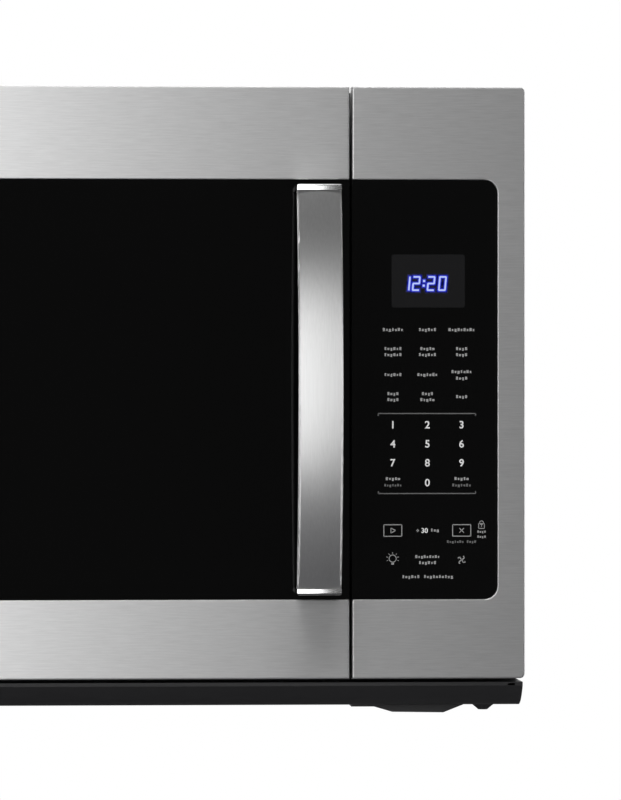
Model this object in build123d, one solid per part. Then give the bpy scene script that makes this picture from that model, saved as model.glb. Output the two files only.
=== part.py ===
from build123d import *
import os
from math import atan2, cos, hypot, radians, sin

# Over the range microwave oven, in millimetres.
# Origin: on the wall face, on the centre line, level with the bottom edge of the door.
# +X is to the right of someone facing the oven, +Y goes into the wall and +Z is up.
# A flat outline seen from the front is (left, right, bottom, top).

os.makedirs("parts", exist_ok=True)

# Overall sizes
unit_width = 760.0
fascia_height = 414.0
unit_depth = 394.0  # wall to the steel face of the door
door_depth = 44.0  # steel face of the door to the front of the chassis
top_step = 2.0  # top of the cabinet below the top of the door
pan_depth = 20.5  # how far the base pan hangs below the door's bottom edge
sheet = 1.0  # pressed steel
seat_gap = 0.3  # between pieces that seat but aren't one solid
running_gap = 0.05  # round a shaft or pin

# Front: one black glass field set in brushed steel, split by the door seam
panel_width = 121.4
seam_gap = 1.8
band_top = 64.8
band_bottom = 55.3
side_border = 19.3
field_corner = 9.5
fascia_corner = 3.5
skin_round = 1.2
skin_return = 17.0
hem_depth = 4.0
glass_thickness = 3.2
glass_inset = 0.8
glass_gap = 0.4

# Oven cavity
air_channel = 42.0  # left side of the unit to the cavity
bay_reach = 51.6  # how far the component bay reaches in behind the door
cavity_floor = 62.0
roof_space = 95.0  # cavity's roof to the top of the cabinet
cavity_back_gap = 23.0  # wall face to the outside of the cavity's back
cavity_corner = 14.0
port_slot = 3.0
port_pitch = 8.0
air_slots = 5
air_slot_height = 40.0
air_slots_from_elbow = 11.0
steam_slots = 8
steam_slot_height = 30.0
steam_slots_from_wall = 150.0
steam_slots_below_roof = 40.0
lamp_slots = 5
lamp_slot_length = 26.0
lamp_slot_pitch = 6.0
cutout_from_cavity_side = 118.0
cutout_from_motor = 105.5
left_cutout_forward = 13.0  # of the turntable's axis
right_cutout_forward = 3.0
lamp_from_bay = 37.0
lamp_from_wall = 210.0
cover_thickness = 0.8  # mica over the feed
feed_margin = 10.0

# Door
door_gap = 3.0  # door frame to chassis front
choke_cover_thickness = 2.0
choke_inside = 6.0  # how far the choke reaches inside the cavity mouth
choke_outside = 14.0
choke_depth = 22.0
choke_lip = 9.0
choke_slot = 6.0
choke_pitch = 26.0
window_inset = 32.0  # window opening inside the cavity mouth
window_lip = 8.0
window_corner = 10.0
inner_pane = 2.0
screen_thickness = 0.6
screen_rim = 6.0
frame_step = 4.7  # rear box of the door frame inside its front rim

# Hinges
pivot_from_side = 13.0
pivot_from_frame_back = 13.0
hinge_inset = 20.0  # door's top or bottom edge to the outside of a hinge arm
hinge_pin_radius = 4.0
hinge_arm_half = 5.5
hinge_arm_thickness = 3.0
hinge_leaf_reach = 22.0
hinge_leaf_margin = 14.0
hinge_pin_reach = 13.0
bush_wall = 1.3
bush_flange = 0.5
bush_height = 9.0
bush_fit = 0.02
bush_seat_offset = 3.0  # bush end to the frame's seat

# Handle
handle_width = 31.0
handle_end_gap = 4.0  # handle's end to the edge of the glass field
handle_from_seam = 22.5  # handle's middle line to the door's right edge
handle_thickness = 9.0
handle_crown = 1.6
handle_corner = 2.0
handle_reach = 45.0  # door steel to the front of the bar at its middle
handle_end_reach = 24.0
handle_cap = 4.2
handle_post_height = 16.0
handle_post_width = 24.0
handle_screw_radius = 2.1
handle_screw_bite = 8.0  # length of thread inside the post
handle_screw_head = 3.0
screw_hole_gap = 0.4

# Latch
latch_from_seam = 18.8
latch_travel = 5.0
hook_width = 6.0
hook_height = 10.0
hook_drop = 3.0
hook_reach = 20.0  # past the chassis front
hook_above_floor = 66.0  # cavity floor to the lower hook
hook_below_roof = 49.0  # cavity roof to the upper hook
catch_clearance = 0.5
latch_bar_width = 10.0
latch_bar_depth = 8.0
latch_clearance = 1.5
latch_spring_length = 24.0
latch_spring_radius = 4.0
switch_width = 10.0
switch_depth = 16.0
switch_length = 28.0
switch_from_hook = 5.0

# Turntable
wheel_radius = 8.0
wheel_width = 8.0
wheel_track = 97.0  # turntable's axis to the middle of a roller wheel
axle_radius = 2.0
ring_radius = 83.0
ring_width = 6.0
ring_thickness = 4.0
tray_clearance = 6.0  # tray's rim to the cavity's back wall
tray_thickness = 5.0
tray_rim = 12.0
tray_relief = 2.0  # tray's underside above its roller track
lug_depth = 3.0
drive_shaft_radius = 3.0
coupler_radius = 20.0
coupler_height = 9.0
arm_half_width = 4.0
turntable_motor_radius = 25.0
turntable_motor_height = 16.0
motor_ear = 1.6
spindle_height = 14.0  # motor's ears to the spindle's top

# Blower and exhaust
scroll_gap = 8.35  # blower wheel to the scroll, above and below
blower_foot = 4.0
blower_wheel_width = 72.0
blower_blades = 26
blower_from_wall = 60.0
blower_motor_radius = 30.0
blower_motor_length = 56.0
blower_shaft_radius = 4.0
duct_width = 254.0  # 10 in
duct_depth = 82.5  # 3 1/4 in
duct_collar_height = 15.0
duct_flange = 8.0
collar_wall = 1.2
flap_height = 6.5  # cabinet's top to the shut flap
flap_thickness = 1.0
flap_side_gap = 0.6
damper_pin_radius = 2.0

# Vent grille and filters
grille_from_left = 80.0
grille_from_panel = 38.6
grille_depth = 40.0
grille_from_front = 5.0
grille_body_depth = 8.0
grille_vane = 1.4
grille_pitch = 13.0
grille_tilt = 28.0
charcoal_height = 22.0
charcoal_wall = 2.0
shelf_windows = 6
filters_from_left = 46.0
filters_from_bay = 3.0
filters_apart = 22.0
filter_from_front = 60.0
filter_depth = 158.0
filter_thickness = 9.0
filter_lip = 8.0
filter_rim = 9.0
filter_travel = 12.0
filter_bars = 9
filter_skin = 1.2
rail_gap = 0.5

# Cabinet, back and base pan
side_vent_count = 14
side_vent_pitch = 12.0
side_vent_length = 60.0
side_vent_width = 4.0
side_vent_low = 60.0  # middle of the lower row of vents
side_vent_from_top = 77.0  # middle of the upper row
side_vent_from_front = 51.6
wrap_hang = 2.0  # sides below the door's bottom edge
rib_margin = 20.0
rib_half_height = 10.0
rib_press = 4.0
screw_radius = 2.0
pan_setback = 10.0  # door's face to the pan's nose
pan_nose = 2.5
pan_drop = 3.0  # door's bottom edge to the pan's front lip
pan_flange_high = 5.0
nose_slot_from_side = 8.5
lens_length = 84.0
lens_depth = 34.0
lens_from_front = 32.0
lens_lip = 2.0
lens_flange = 1.6
hood_from_panel = 2.7
hood_from_side = 38.4
hood_depth = 150.0
hood_slots = 12
dimple_from_side = 24.5
dimple_from_front = 12.0

# Component bay
guide_from_wall = 195.0
guide_width = 80.0
guide_depth = 32.0
guide_length = 115.0
guide_from_roof = 12.0
guide_wall = 1.2
magnetron_drop = 35.0  # waveguide's top to the magnetron's axis
antenna_radius = 7.5
yoke_height = 70.0
yoke_length = 58.0
yoke_wall = 1.6
magnet_radius = 26.0
magnet_thickness = 9.0
magnetron_fin_count = 7
elbow_from_front = 45.0
elbow_half_height = 36.0
elbow_drop = 2.0
elbow_wall = 1.6
bay_fan_radius = 52.0
bay_fan_from_side = 88.0
bay_fan_drop = 8.0
bay_fan_blades = 5
fan_depth = 20.0
fan_hub_radius = 16.0
fan_shaft_radius = 2.5
fan_clearance = 2.5
shroud_margin = 6.0
shroud_depth = 28.0
shroud_from_wall = 34.0
shroud_wall = 1.5
core_from_side = 12.0
core_from_wall = 162.0
core_width = 100.0
core_depth = 70.0
core_height = 84.0
core_leg = 34.0
core_window_low = 24.5  # pan to the lower edge of the winding windows
core_window_height = 42.0
winding_width = 15.0
winding_bulge = 24.0
capacitor_from_side = 46.0
capacitor_from_wall = 100.0
capacitor_height = 90.0
diode_from_side = 110.0
mains_board_from_side = 45.0
mains_board_from_top = 14.0
mains_board_width = 95.0
mains_board_height = 63.0
mains_board_from_wall = 14.0

# Controls
housing_wall = 2.0
board_thickness = 1.6
board_from_chassis = 22.0
board_left_margin = 13.0
board_right_margin = 14.0
board_low_margin = 28.7  # glass field's bottom edge to the board
board_high_margin = 24.2
wiring_left_margin = 14.0
wiring_low_margin = 32.7
wiring_high_margin = 27.2
display_from_panel = 27.8
display_width = 51.4
display_height = 37.1
display_from_top = 52.4
display_frame = 3.0
display_depth = 10.0

# Mounting
bolt_spacing = 380.0
bolt_hole_radius = 3.5
bolt_from_wall = 200.0
tab_spacing = 500.0
tab_slot_length = 40.0
tab_slot_width = 6.0
tab_height = 14.0
cord_from_side = 50.0
cord_from_wall = 60.0
cord_hole_half = 11.0  # half the side of the square hole
cord_hole_corner = 3.0
cord_bore_radius = 8.0

# Worked out from the sizes above
half = unit_width / 2
face_y = -unit_depth
chassis_y = door_depth - unit_depth
cabinet_depth = unit_depth - door_depth
cabinet_height = fascia_height - top_step
panel_left = half - panel_width
door_right = panel_left - seam_gap
field = (-half + side_border, half - side_border, band_bottom, fascia_height - band_top)
glass_front = face_y + glass_inset
glass_back = glass_front + glass_thickness
skin_back = face_y + skin_return
cavity_left = -half + air_channel
cavity_right = panel_left - bay_reach
cavity_top = cabinet_height - roof_space
mouth = (cavity_left, cavity_right, cavity_floor, cavity_top)
cavity_back = -cavity_back_gap - sheet  # inner face of the back wall
wrap_inside = half - sheet - sheet
frame_back = chassis_y - door_gap
pivot_x = -half + pivot_from_side
pivot_y = frame_back - pivot_from_frame_back
lower_arm_height = hinge_inset
upper_arm_height = fascia_height - hinge_inset - hinge_arm_thickness
turntable_x = (cavity_left + cavity_right) / 2
turntable_y = (chassis_y + cavity_back) / 2
tray_radius = cavity_back - turntable_y - tray_clearance
pan_top = -pan_drop
pan_bottom = -pan_depth
pan_inside = pan_bottom + sheet
handle_x = door_right - handle_from_seam
handle_low = field[2] + handle_end_gap
handle_high = field[3] - handle_end_gap
handle_centre_height = (handle_low + handle_high) / 2
handle_screw_heights = (handle_low + handle_post_height / 2, handle_high - handle_post_height / 2)
screw_hole_radius = handle_screw_radius + screw_hole_gap
latch_x = door_right - latch_from_seam
hook_low_height = cavity_floor + hook_above_floor
hook_high_height = cavity_top - hook_below_roof
grille_left = -half + grille_from_left
grille_right = panel_left - grille_from_panel
filters_left = -half + filters_from_left
filters_right = cavity_right - filters_from_bay
filter_width = (filters_right - filters_left - filters_apart) / 2
filter_left_x = filters_left + filter_width / 2
filter_right_x = filters_right - filter_width / 2
filter_centres = (filter_left_x, filter_right_x)
filter_front = chassis_y + filter_from_front
guide_front = -guide_from_wall - guide_width / 2
guide_back = -guide_from_wall + guide_width / 2
guide_high = cavity_top - guide_from_roof
guide_low = guide_high - guide_length
feed_low = guide_low + feed_margin
feed_high = feed_low + guide_width / 2
magnetron_y = -guide_from_wall
magnetron_z = guide_high - magnetron_drop
elbow_front = chassis_y + elbow_from_front
elbow_z = magnetron_z - elbow_drop
lamp_x = cavity_right - lamp_from_bay
lamp_y = -lamp_from_wall
bay_fan_x = half - bay_fan_from_side
bay_fan_z = magnetron_z - bay_fan_drop
scroll_top = cabinet_height - sheet - seat_gap
scroll_low = cavity_top + sheet + blower_foot
blower_wheel_radius = (scroll_top - scroll_low) / 2 - scroll_gap
blower_axis_y = -blower_from_wall
blower_axis_z = scroll_low + scroll_gap + blower_wheel_radius
duct_front = blower_axis_y - duct_depth / 2
duct_back = blower_axis_y + duct_depth / 2
duct_inside = duct_width / 2 - collar_wall
cord_x = half - cord_from_side
cord_y = -cord_from_wall


# Shared shapes

def block(x_low, x_high, y_low, y_high, z_low, z_high):
    """A rectangular solid between two corners."""
    centre = Pos((x_low + x_high) / 2, (y_low + y_high) / 2, (z_low + z_high) / 2)
    return centre * Box(x_high - x_low, y_high - y_low, z_high - z_low)


def grown(outline, by):
    """A front outline made larger by the same amount on every side."""
    left, right, bottom, top = outline
    return (left - by, right + by, bottom - by, top + by)


def front_plate_solid(outline, y_low, y_high, corner=0.0):
    """A flat plate that faces the front, with rounded corners."""
    left, right, bottom, top = outline
    width = right - left
    height = top - bottom
    shape = RectangleRounded(width, height, corner) if corner > 0 else Rectangle(width, height)
    solid = extrude(Plane.XZ * shape, amount=y_high - y_low)
    return Pos((left + right) / 2, y_high, (bottom + top) / 2) * solid


def front_ring(outer, inner, y_low, y_high, corner_out=0.0, corner_in=0.0):
    """A plate that faces the front, with an opening through it."""
    hole = front_plate_solid(inner, y_low - 1, y_high + 1, corner_in)
    return front_plate_solid(outer, y_low, y_high, corner_out) - hole


def rod(start, end, radius):
    """A round rod between two points."""
    axis = Vector(*end) - Vector(*start)
    plane = Plane(origin=start, z_dir=axis)
    return extrude(plane * Circle(radius), amount=axis.length)


def tube(start, end, outer, inner):
    """A round tube between two points."""
    return rod(start, end, outer) - rod(start, end, inner)


def group(pieces):
    """Like pieces kept as separate solids in one node."""
    return Compound([solid for piece in pieces for solid in piece.solids()])


def save(piece, node):
    export_step(piece, f"parts/{node}.step")


# Brushed steel skins: pressed sheet, folded back round the edge and hemmed at the glass

def front_skin(x_low, x_high, outer_x):
    """One side of the steel front, with its returns and the hem round the glass."""
    outline = (x_low, x_high, 0, fascia_height)
    skin = front_plate_solid(outline, face_y, skin_back)
    corners = [e for e in skin.edges().filter_by(Axis.Y) if abs(e.center().X - outer_x) < 0.1]
    skin = fillet(corners, fascia_corner)
    skin = fillet(skin.faces().sort_by(Axis.Y)[0].edges(), skin_round)
    inside = grown(outline, -sheet)
    skin -= front_plate_solid(inside, face_y + sheet, skin_back + 1, skin_round)
    hem = front_plate_solid(grown(field, sheet), face_y, face_y + hem_depth, field_corner + sheet)
    skin += hem & front_plate_solid(inside, face_y + skin_round / 2, skin_back)
    skin -= front_plate_solid(field, face_y - 1, skin_back + 1, field_corner)
    rim = [e for e in skin.edges() if on_field_edge(e)]
    return fillet(rim, skin_round * 0.6)


def on_field_edge(edge):
    """True for the front edges of the steel where it meets the glass field."""
    place = edge.center()
    on_face = abs(place.Y - face_y) < 0.01
    in_field = field[2] - 0.1 < place.Z < field[3] + 0.1
    return on_face and in_field and abs(place.X) < field[1] + 0.1


def field_glass(x_low, x_high):
    """The black glass on one side of the seam."""
    pane = front_plate_solid(
        grown(field, -glass_gap), glass_front, glass_back, field_corner - glass_gap
    )
    pane &= block(x_low, x_high, glass_front, glass_back, field[2], field[3])
    for z in handle_screw_heights:
        pane -= rod((handle_x, glass_front - 1, z), (handle_x, glass_back + 1, z), screw_hole_radius)
    return pane


save(front_skin(-half, door_right, -half), "door_skin")
save(front_skin(panel_left, half, half), "panel_trim")
save(field_glass(-half, door_right), "door_glass")
save(field_glass(panel_left, half), "panel_glass")

# Door frame: a pressed pan with a stepped rim, the choke channel and the window surround

rim_outline = (
    -half + sheet + seat_gap,
    door_right - sheet - seat_gap,
    sheet + seat_gap,
    fascia_height - sheet - seat_gap,
)
box_outline = grown(rim_outline, -frame_step)
choke_outer = grown(mouth, choke_outside)
choke_inner = grown(mouth, -choke_inside)
window = grown(mouth, -window_inset)
window_seat = grown(window, window_lip)
hook_heights = (hook_low_height, hook_high_height)
latch_bar_back = frame_back - sheet - seat_gap
latch_bar_front = latch_bar_back - latch_bar_depth


def door_frame():
    frame = front_plate_solid(rim_outline, glass_back, skin_back, skin_round)
    frame -= front_plate_solid(grown(rim_outline, -sheet), glass_back - 1, skin_back - sheet)
    frame -= front_plate_solid(grown(box_outline, -sheet), glass_back, skin_back + 1)
    frame += front_ring(box_outline, grown(box_outline, -sheet), skin_back - sheet, frame_back)
    frame += front_ring(box_outline, choke_outer, frame_back - sheet, frame_back)

    # The choke: a channel round the mouth, open to the back, with a comb of fingers
    front_of_choke = frame_back - choke_depth
    channel = front_ring(choke_outer, choke_inner, front_of_choke, frame_back)
    channel -= front_ring(
        grown(choke_outer, -sheet), grown(choke_inner, sheet), front_of_choke + sheet, frame_back + 1
    )
    comb = front_ring(grown(choke_inner, choke_lip), choke_inner, frame_back - sheet, frame_back)
    frame += channel + comb - choke_slots()

    # The plate round the window, and the tube that carries the glass in front of it
    frame += front_ring(choke_inner, window, frame_back - sheet, frame_back, 0, window_corner)
    frame += front_ring(
        grown(window_seat, sheet), window_seat, glass_back, frame_back, window_corner, window_corner
    )
    frame -= hinge_notches()
    frame += hinge_seats()
    frame -= latch_slots(frame_back - sheet - 1, frame_back + 1)
    frame += latch_guides()
    return frame


def choke_slots():
    """Cuts that divide the choke's lip into fingers, evenly along each side."""
    left, right, bottom, top = choke_inner
    cuts = []
    reach = choke_lip + 1
    across = int((right - left) / choke_pitch)
    for i in range(across):
        x = left + (right - left) * (i + 0.5) / across
        for low in (bottom - reach, top):
            cuts.append(block(x - choke_slot / 2, x + choke_slot / 2, frame_back - sheet - 1,
                              frame_back + 1, low + 0.5, low + reach - 0.5))
    upright = int((top - bottom) / choke_pitch)
    for i in range(upright):
        z = bottom + (top - bottom) * (i + 0.5) / upright
        for low in (left - reach, right):
            cuts.append(block(low + 0.5, low + reach - 0.5, frame_back - sheet - 1,
                              frame_back + 1, z - choke_slot / 2, z + choke_slot / 2))
    return Part() + cuts


def hinge_notches():
    """Openings in the frame's left corner for the fixed hinge arms as the door swings."""
    notches = []
    for low in (lower_arm_height, upper_arm_height):
        notches.append(block(
            -half, pivot_x + hinge_arm_half + 3, skin_back, frame_back + 1,
            low - 2.5, low + hinge_arm_thickness + 2.5,
        ))
    return Part() + notches


bush_radius = hinge_pin_radius + running_gap + bush_wall
lower_bush_bottom = lower_arm_height + hinge_arm_thickness + seat_gap
upper_bush_bottom = upper_arm_height - seat_gap - bush_height


def hinge_seats():
    """Shelves inside the frame's left side that hold the hinge bushes."""
    seats = []
    for bush_bottom in (lower_bush_bottom, upper_bush_bottom):
        low = bush_bottom + bush_seat_offset
        shelf = block(
            box_outline[0] + sheet / 2, pivot_x + bush_radius + 6, skin_back - sheet / 2,
            frame_back - sheet / 2, low, low + bush_height - 2 * bush_seat_offset,
        )
        hole = rod((pivot_x, pivot_y, low - 1), (pivot_x, pivot_y, low + bush_height), bush_radius)
        seats.append(shelf - hole)
    return Part() + seats


def latch_slots(y_low, y_high):
    """Openings that the two hooks pass through, with room for their lift."""
    slots = []
    half_width = hook_width / 2 + latch_clearance + 1
    for height in hook_heights:
        slots.append(block(
            latch_x - half_width, latch_x + half_width, y_low, y_high,
            height - hook_drop - latch_clearance, height + hook_height + latch_travel + latch_clearance,
        ))
    return Part() + slots


bar_low = hook_low_height - 18.0
bar_high = hook_high_height + hook_height + 12.0
spring_low = bar_high + seat_gap
spring_high = spring_low + latch_spring_length
spring_y = (latch_bar_back + latch_bar_front) / 2


def latch_guides():
    """Rails beside the latch bar, its bottom stop and the spring's upper stop."""
    side = latch_bar_width / 2 + seat_gap
    rails = []
    for low in (bar_low, (bar_low + bar_high) / 2 - 10, bar_high - 20):
        for sign in (-1, 1):
            edges = sorted((latch_x + sign * side, latch_x + sign * (side + 1.2)))
            rails.append(block(*edges, latch_bar_front, frame_back - sheet / 2, low, low + 20))
    for low in (bar_low - seat_gap - 2, spring_high):
        rails.append(block(
            latch_x - side, latch_x + side, latch_bar_front, frame_back - sheet / 2, low, low + 2
        ))
    return Part() + rails


save(door_frame(), "door_frame")

# Plastic cover over the choke, with a bevelled edge

cover_outline = grown(choke_outer, 4)
cover_back = frame_back + choke_cover_thickness
choke_cover = front_ring(
    cover_outline, grown(choke_inner, -6), frame_back, cover_back, window_corner, window_corner
)
cover_edges = choke_cover.faces().sort_by(Axis.Y)[-1].outer_wire().edges()
save(chamfer(cover_edges, choke_cover_thickness * 0.6), "choke_cover")

# Inner window and the perforated screen in front of it, both held in the window surround

pane_outline = grown(window_seat, -seat_gap)
pane_front = frame_back - sheet - inner_pane
save(
    front_plate_solid(pane_outline, pane_front, frame_back - sheet, window_corner - seat_gap),
    "inner_window",
)


def window_screen():
    """Thin steel screen with a turned-up rim that stiffens it."""
    low = pane_front - screen_thickness
    screen = front_plate_solid(pane_outline, low, pane_front, window_corner - seat_gap)
    rim_inner = grown(pane_outline, -screen_thickness)
    rim = front_ring(
        pane_outline, rim_inner, low - screen_rim, low, window_corner - seat_gap, window_corner - 1
    )
    return screen + rim


save(window_screen(), "window_screen")

# Latch bar: one moulding with two hooks that lift together, and the spring above it

hook_tip = chassis_y + hook_reach


def latch_bar():
    half_bar = latch_bar_width / 2
    bar = block(
        latch_x - half_bar, latch_x + half_bar, latch_bar_front, latch_bar_back, bar_low, bar_high
    )
    bar = fillet(bar.edges().filter_by(Axis.Z), 1.5)
    for height in hook_heights:
        with BuildSketch(Plane.YZ.offset(latch_x - hook_width / 2)) as side:
            with BuildLine():
                Polyline(
                    (latch_bar_back - 1, height),
                    (hook_tip - 11, height),
                    (hook_tip - 9, height - hook_drop),
                    (hook_tip - 5, height - hook_drop),
                    (hook_tip, height + 3),
                    (hook_tip, height + hook_height - 2),
                    (hook_tip - 3, height + hook_height),
                    (latch_bar_back - 1, height + hook_height),
                    close=True,
                )
            make_face()
        bar += extrude(side.sketch, amount=hook_width)
    return bar


save(latch_bar(), "latch_bar")
save(
    tube(
        (latch_x, spring_y, spring_low), (latch_x, spring_y, spring_high - seat_gap),
        latch_spring_radius, latch_spring_radius - 1,
    ),
    "latch_spring",
)

# Hinges: two arms on the chassis, with the pins that the door's bushes turn on


def hinge(arm_low, pin_up):
    """A bent steel bracket: its leaf lies behind the chassis front and its arm carries the pin."""
    arm_high = arm_low + hinge_arm_thickness
    arm_plane = Plane.XY.offset(arm_low)
    back = chassis_y + 3 * sheet
    tongue = Pos(pivot_x, (pivot_y + back) / 2) * Rectangle(2 * hinge_arm_half, back - pivot_y)
    tongue += Pos(pivot_x, pivot_y) * Circle(hinge_arm_half)
    arm = extrude(arm_plane * tongue, amount=hinge_arm_thickness)
    leaf = front_plate_solid(
        (pivot_x - hinge_arm_half, pivot_x + hinge_leaf_reach, arm_low - hinge_leaf_margin,
         arm_high + hinge_leaf_margin),
        chassis_y + sheet, chassis_y + 3 * sheet, 3,
    )
    pin_start = arm_high - 1 if pin_up else arm_low + 1
    reach = hinge_pin_reach if pin_up else -hinge_pin_reach
    pin = rod((pivot_x, pivot_y, pin_start), (pivot_x, pivot_y, pin_start + reach), hinge_pin_radius)
    return arm + leaf + pin


save(hinge(lower_arm_height, True), "hinge_lower")
save(hinge(upper_arm_height, False), "hinge_upper")


def hinge_bush(bottom, flange_at_bottom):
    """A plastic bush with a flange that carries the door on the arm."""
    body = tube(
        (pivot_x, pivot_y, bottom), (pivot_x, pivot_y, bottom + bush_height),
        bush_radius - bush_fit, hinge_pin_radius + running_gap,
    )
    flange_low = bottom if flange_at_bottom else bottom + bush_height - bush_seat_offset + bush_flange
    flange = tube(
        (pivot_x, pivot_y, flange_low), (pivot_x, pivot_y, flange_low + bush_seat_offset - bush_flange),
        bush_radius + bush_flange, hinge_pin_radius + running_gap,
    )
    return body + flange


bushes = group([hinge_bush(lower_bush_bottom, True), hinge_bush(upper_bush_bottom, False)])
save(bushes, "hinge_bushes")

# Handle: a bowed bar with a crowned face, between two polished end caps on posts

bar_end_y = face_y - handle_end_reach + handle_thickness / 2
bar_middle_y = face_y - handle_reach + handle_thickness / 2


def handle_section(width, thickness, crown, corner):
    """Flat back, crowned front and softened corners; the front points along the section's +Y."""
    front_low = thickness / 2 - crown
    outline = make_face([
        Line((-width / 2, -thickness / 2), (width / 2, -thickness / 2)),
        Line((width / 2, -thickness / 2), (width / 2, front_low)),
        ThreePointArc((width / 2, front_low), (0, thickness / 2), (-width / 2, front_low)),
        Line((-width / 2, front_low), (-width / 2, -thickness / 2)),
    ])
    return fillet(outline.vertices(), corner)


def handle_bar():
    low = handle_low + handle_cap
    high = handle_high - handle_cap
    path = ThreePointArc(
        (handle_x, bar_end_y, low),
        (handle_x, bar_middle_y, handle_centre_height),
        (handle_x, bar_end_y, high),
    )
    start = Plane(origin=path @ 0, x_dir=(-1, 0, 0), z_dir=path % 0)
    section = start * handle_section(handle_width, handle_thickness, handle_crown, handle_corner)
    bar = sweep(section, path)
    slack = handle_thickness
    keep = block(
        handle_x - handle_width, handle_x + handle_width, face_y - handle_reach - slack,
        face_y, low, high,
    )
    return bar & keep


def handle_cap_piece(sign):
    """One end: a polished cap that closes the bar, and the post behind it down to the glass."""
    end = handle_low if sign < 0 else handle_high
    inner = end - sign * handle_cap
    half_width = handle_width / 2
    cap_front = face_y - handle_end_reach - 1.0
    cap = block(
        handle_x - half_width, handle_x + half_width, cap_front, glass_front,
        min(end, inner), max(end, inner),
    )
    outer_edges = cap.faces().sort_by(Axis.Z)[0 if sign < 0 else -1].edges()
    cap = fillet(outer_edges.sort_by(Axis.Y)[:-1], 1.6)
    post_far = end - sign * handle_post_height
    bar_back = face_y - handle_end_reach + handle_thickness + 0.6
    post = block(
        handle_x - handle_post_width / 2, handle_x + handle_post_width / 2, bar_back, glass_front,
        min(inner, post_far), max(inner, post_far),
    )
    post = fillet(post.faces().sort_by(Axis.Z)[-1 if sign < 0 else 0].edges().filter_by(Axis.X), 2)
    z = handle_screw_heights[0 if sign < 0 else 1]
    hole = rod(
        (handle_x, glass_front + 1, z), (handle_x, glass_front - handle_screw_bite - 1, z),
        handle_screw_radius + running_gap,
    )
    return cap + post - hole


save(handle_bar(), "handle_bar")
handle_caps = group([handle_cap_piece(-1), handle_cap_piece(1)])
save(handle_caps, "handle_end_caps")


def handle_screw(z):
    """A pan head screw from inside the door into the post."""
    tip = (handle_x, glass_front - handle_screw_bite, z)
    shank = rod((handle_x, glass_back, z), tip, handle_screw_radius)
    head = rod((handle_x, glass_back, z), (handle_x, glass_back + handle_screw_head, z),
               2 * handle_screw_radius)
    return shank + head


save(group([handle_screw(z) for z in handle_screw_heights]), "handle_screws")

# Front plate: carries the cavity's mouth, the hinges, the latch board and the filter shelf

chassis_inner = chassis_y + sheet
inside_x = wrap_inside - seat_gap
plate_top = cabinet_height - sheet - seat_gap
plate_low = 2.0
wiring = (
    panel_left + wiring_left_margin, half - wiring_left_margin, field[2] + wiring_low_margin,
    field[3] - wiring_high_margin,
)
grille_front = chassis_inner + grille_from_front
grille_back = grille_front + grille_depth
grille_body_low = cabinet_height - grille_body_depth
charcoal_top = grille_body_low - seat_gap
charcoal_low = charcoal_top - charcoal_height
shelf_top = charcoal_low - seat_gap


def filter_shelf():
    """A channel behind the plate that carries the charcoal filter, with windows for the air."""
    left = grille_left + 6
    right = grille_right - 6
    back = grille_back + 2
    shelf = block(left, right, chassis_inner - sheet / 2, back, shelf_top - sheet, shelf_top)
    shelf += block(left, right, back - sheet, back, shelf_top - sheet, shelf_top + 10)
    pitch = (right - left) / shelf_windows
    for i in range(shelf_windows):
        x = left + pitch * (i + 0.5)
        shelf -= block(
            x - pitch / 2 + 6, x + pitch / 2 - 6, chassis_inner + 8, back - 8,
            shelf_top - sheet - 1, shelf_top + 1,
        )
    return shelf


def front_plate():
    outline = (-inside_x, inside_x, plate_low, plate_top)
    plate = front_ring(outline, mouth, chassis_y, chassis_inner, 2.0, cavity_corner)
    plate -= front_plate_solid(wiring, chassis_y - 1, chassis_inner + 1, 6.0)
    plate -= latch_slots(chassis_y - 1, chassis_inner + 1)
    for low in (lower_arm_height, upper_arm_height):
        plate -= block(
            pivot_x - hinge_arm_half - seat_gap, pivot_x + hinge_arm_half + seat_gap,
            chassis_y - 1, chassis_inner + 1, low - seat_gap, low + hinge_arm_thickness + seat_gap,
        )
    return plate + filter_shelf()


save(front_plate(), "front_plate")

# Cavity: an enamelled box with rounded edges, open to the front

shaft_hole_radius = drive_shaft_radius + 2


def slot_row(start, step, count, size):
    """A row of equal slots, each a box of the given size about its middle."""
    cuts = []
    for i in range(count):
        place = Vector(*start) + Vector(*step) * i
        cuts.append(Pos(place.X, place.Y, place.Z) * Box(*size))
    return Part() + cuts


def cavity_liner():
    depth_low = chassis_inner
    outer = front_plate_solid(
        grown(mouth, sheet), depth_low, cavity_back + sheet, cavity_corner + sheet
    )
    liner = outer - front_plate_solid(mouth, depth_low - 1, cavity_back, cavity_corner)
    liner -= rod(
        (turntable_x, turntable_y, cavity_floor - 3), (turntable_x, turntable_y, cavity_floor + 3),
        shaft_hole_radius,
    )
    liner -= block(
        cavity_right - 1, cavity_right + 2, guide_front + feed_margin, guide_back - feed_margin, feed_low,
        feed_high
    )
    through = 4 * sheet
    liner -= slot_row(
        (cavity_right + sheet / 2, elbow_front + air_slots_from_elbow, elbow_z),
        (0, port_pitch, 0), air_slots, (through, port_slot, air_slot_height),
    )
    liner -= slot_row(
        (cavity_left - sheet / 2, -steam_slots_from_wall, cavity_top - steam_slots_below_roof),
        (0, port_pitch, 0), steam_slots, (through, port_slot, steam_slot_height),
    )
    liner -= slot_row(
        (lamp_x - lamp_slot_pitch * (lamp_slots - 1) / 2, lamp_y, cavity_top + sheet / 2),
        (lamp_slot_pitch, 0, 0), lamp_slots, (port_slot, lamp_slot_length, through),
    )
    return liner


save(cavity_liner(), "cavity_liner")
save(
    block(
        cavity_right - cover_thickness, cavity_right, guide_front, guide_back,
        feed_low - feed_margin, feed_high + feed_margin,
    ),
    "waveguide_cover",
)

# Cabinet: one sheet bent over the top and down both sides

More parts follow.
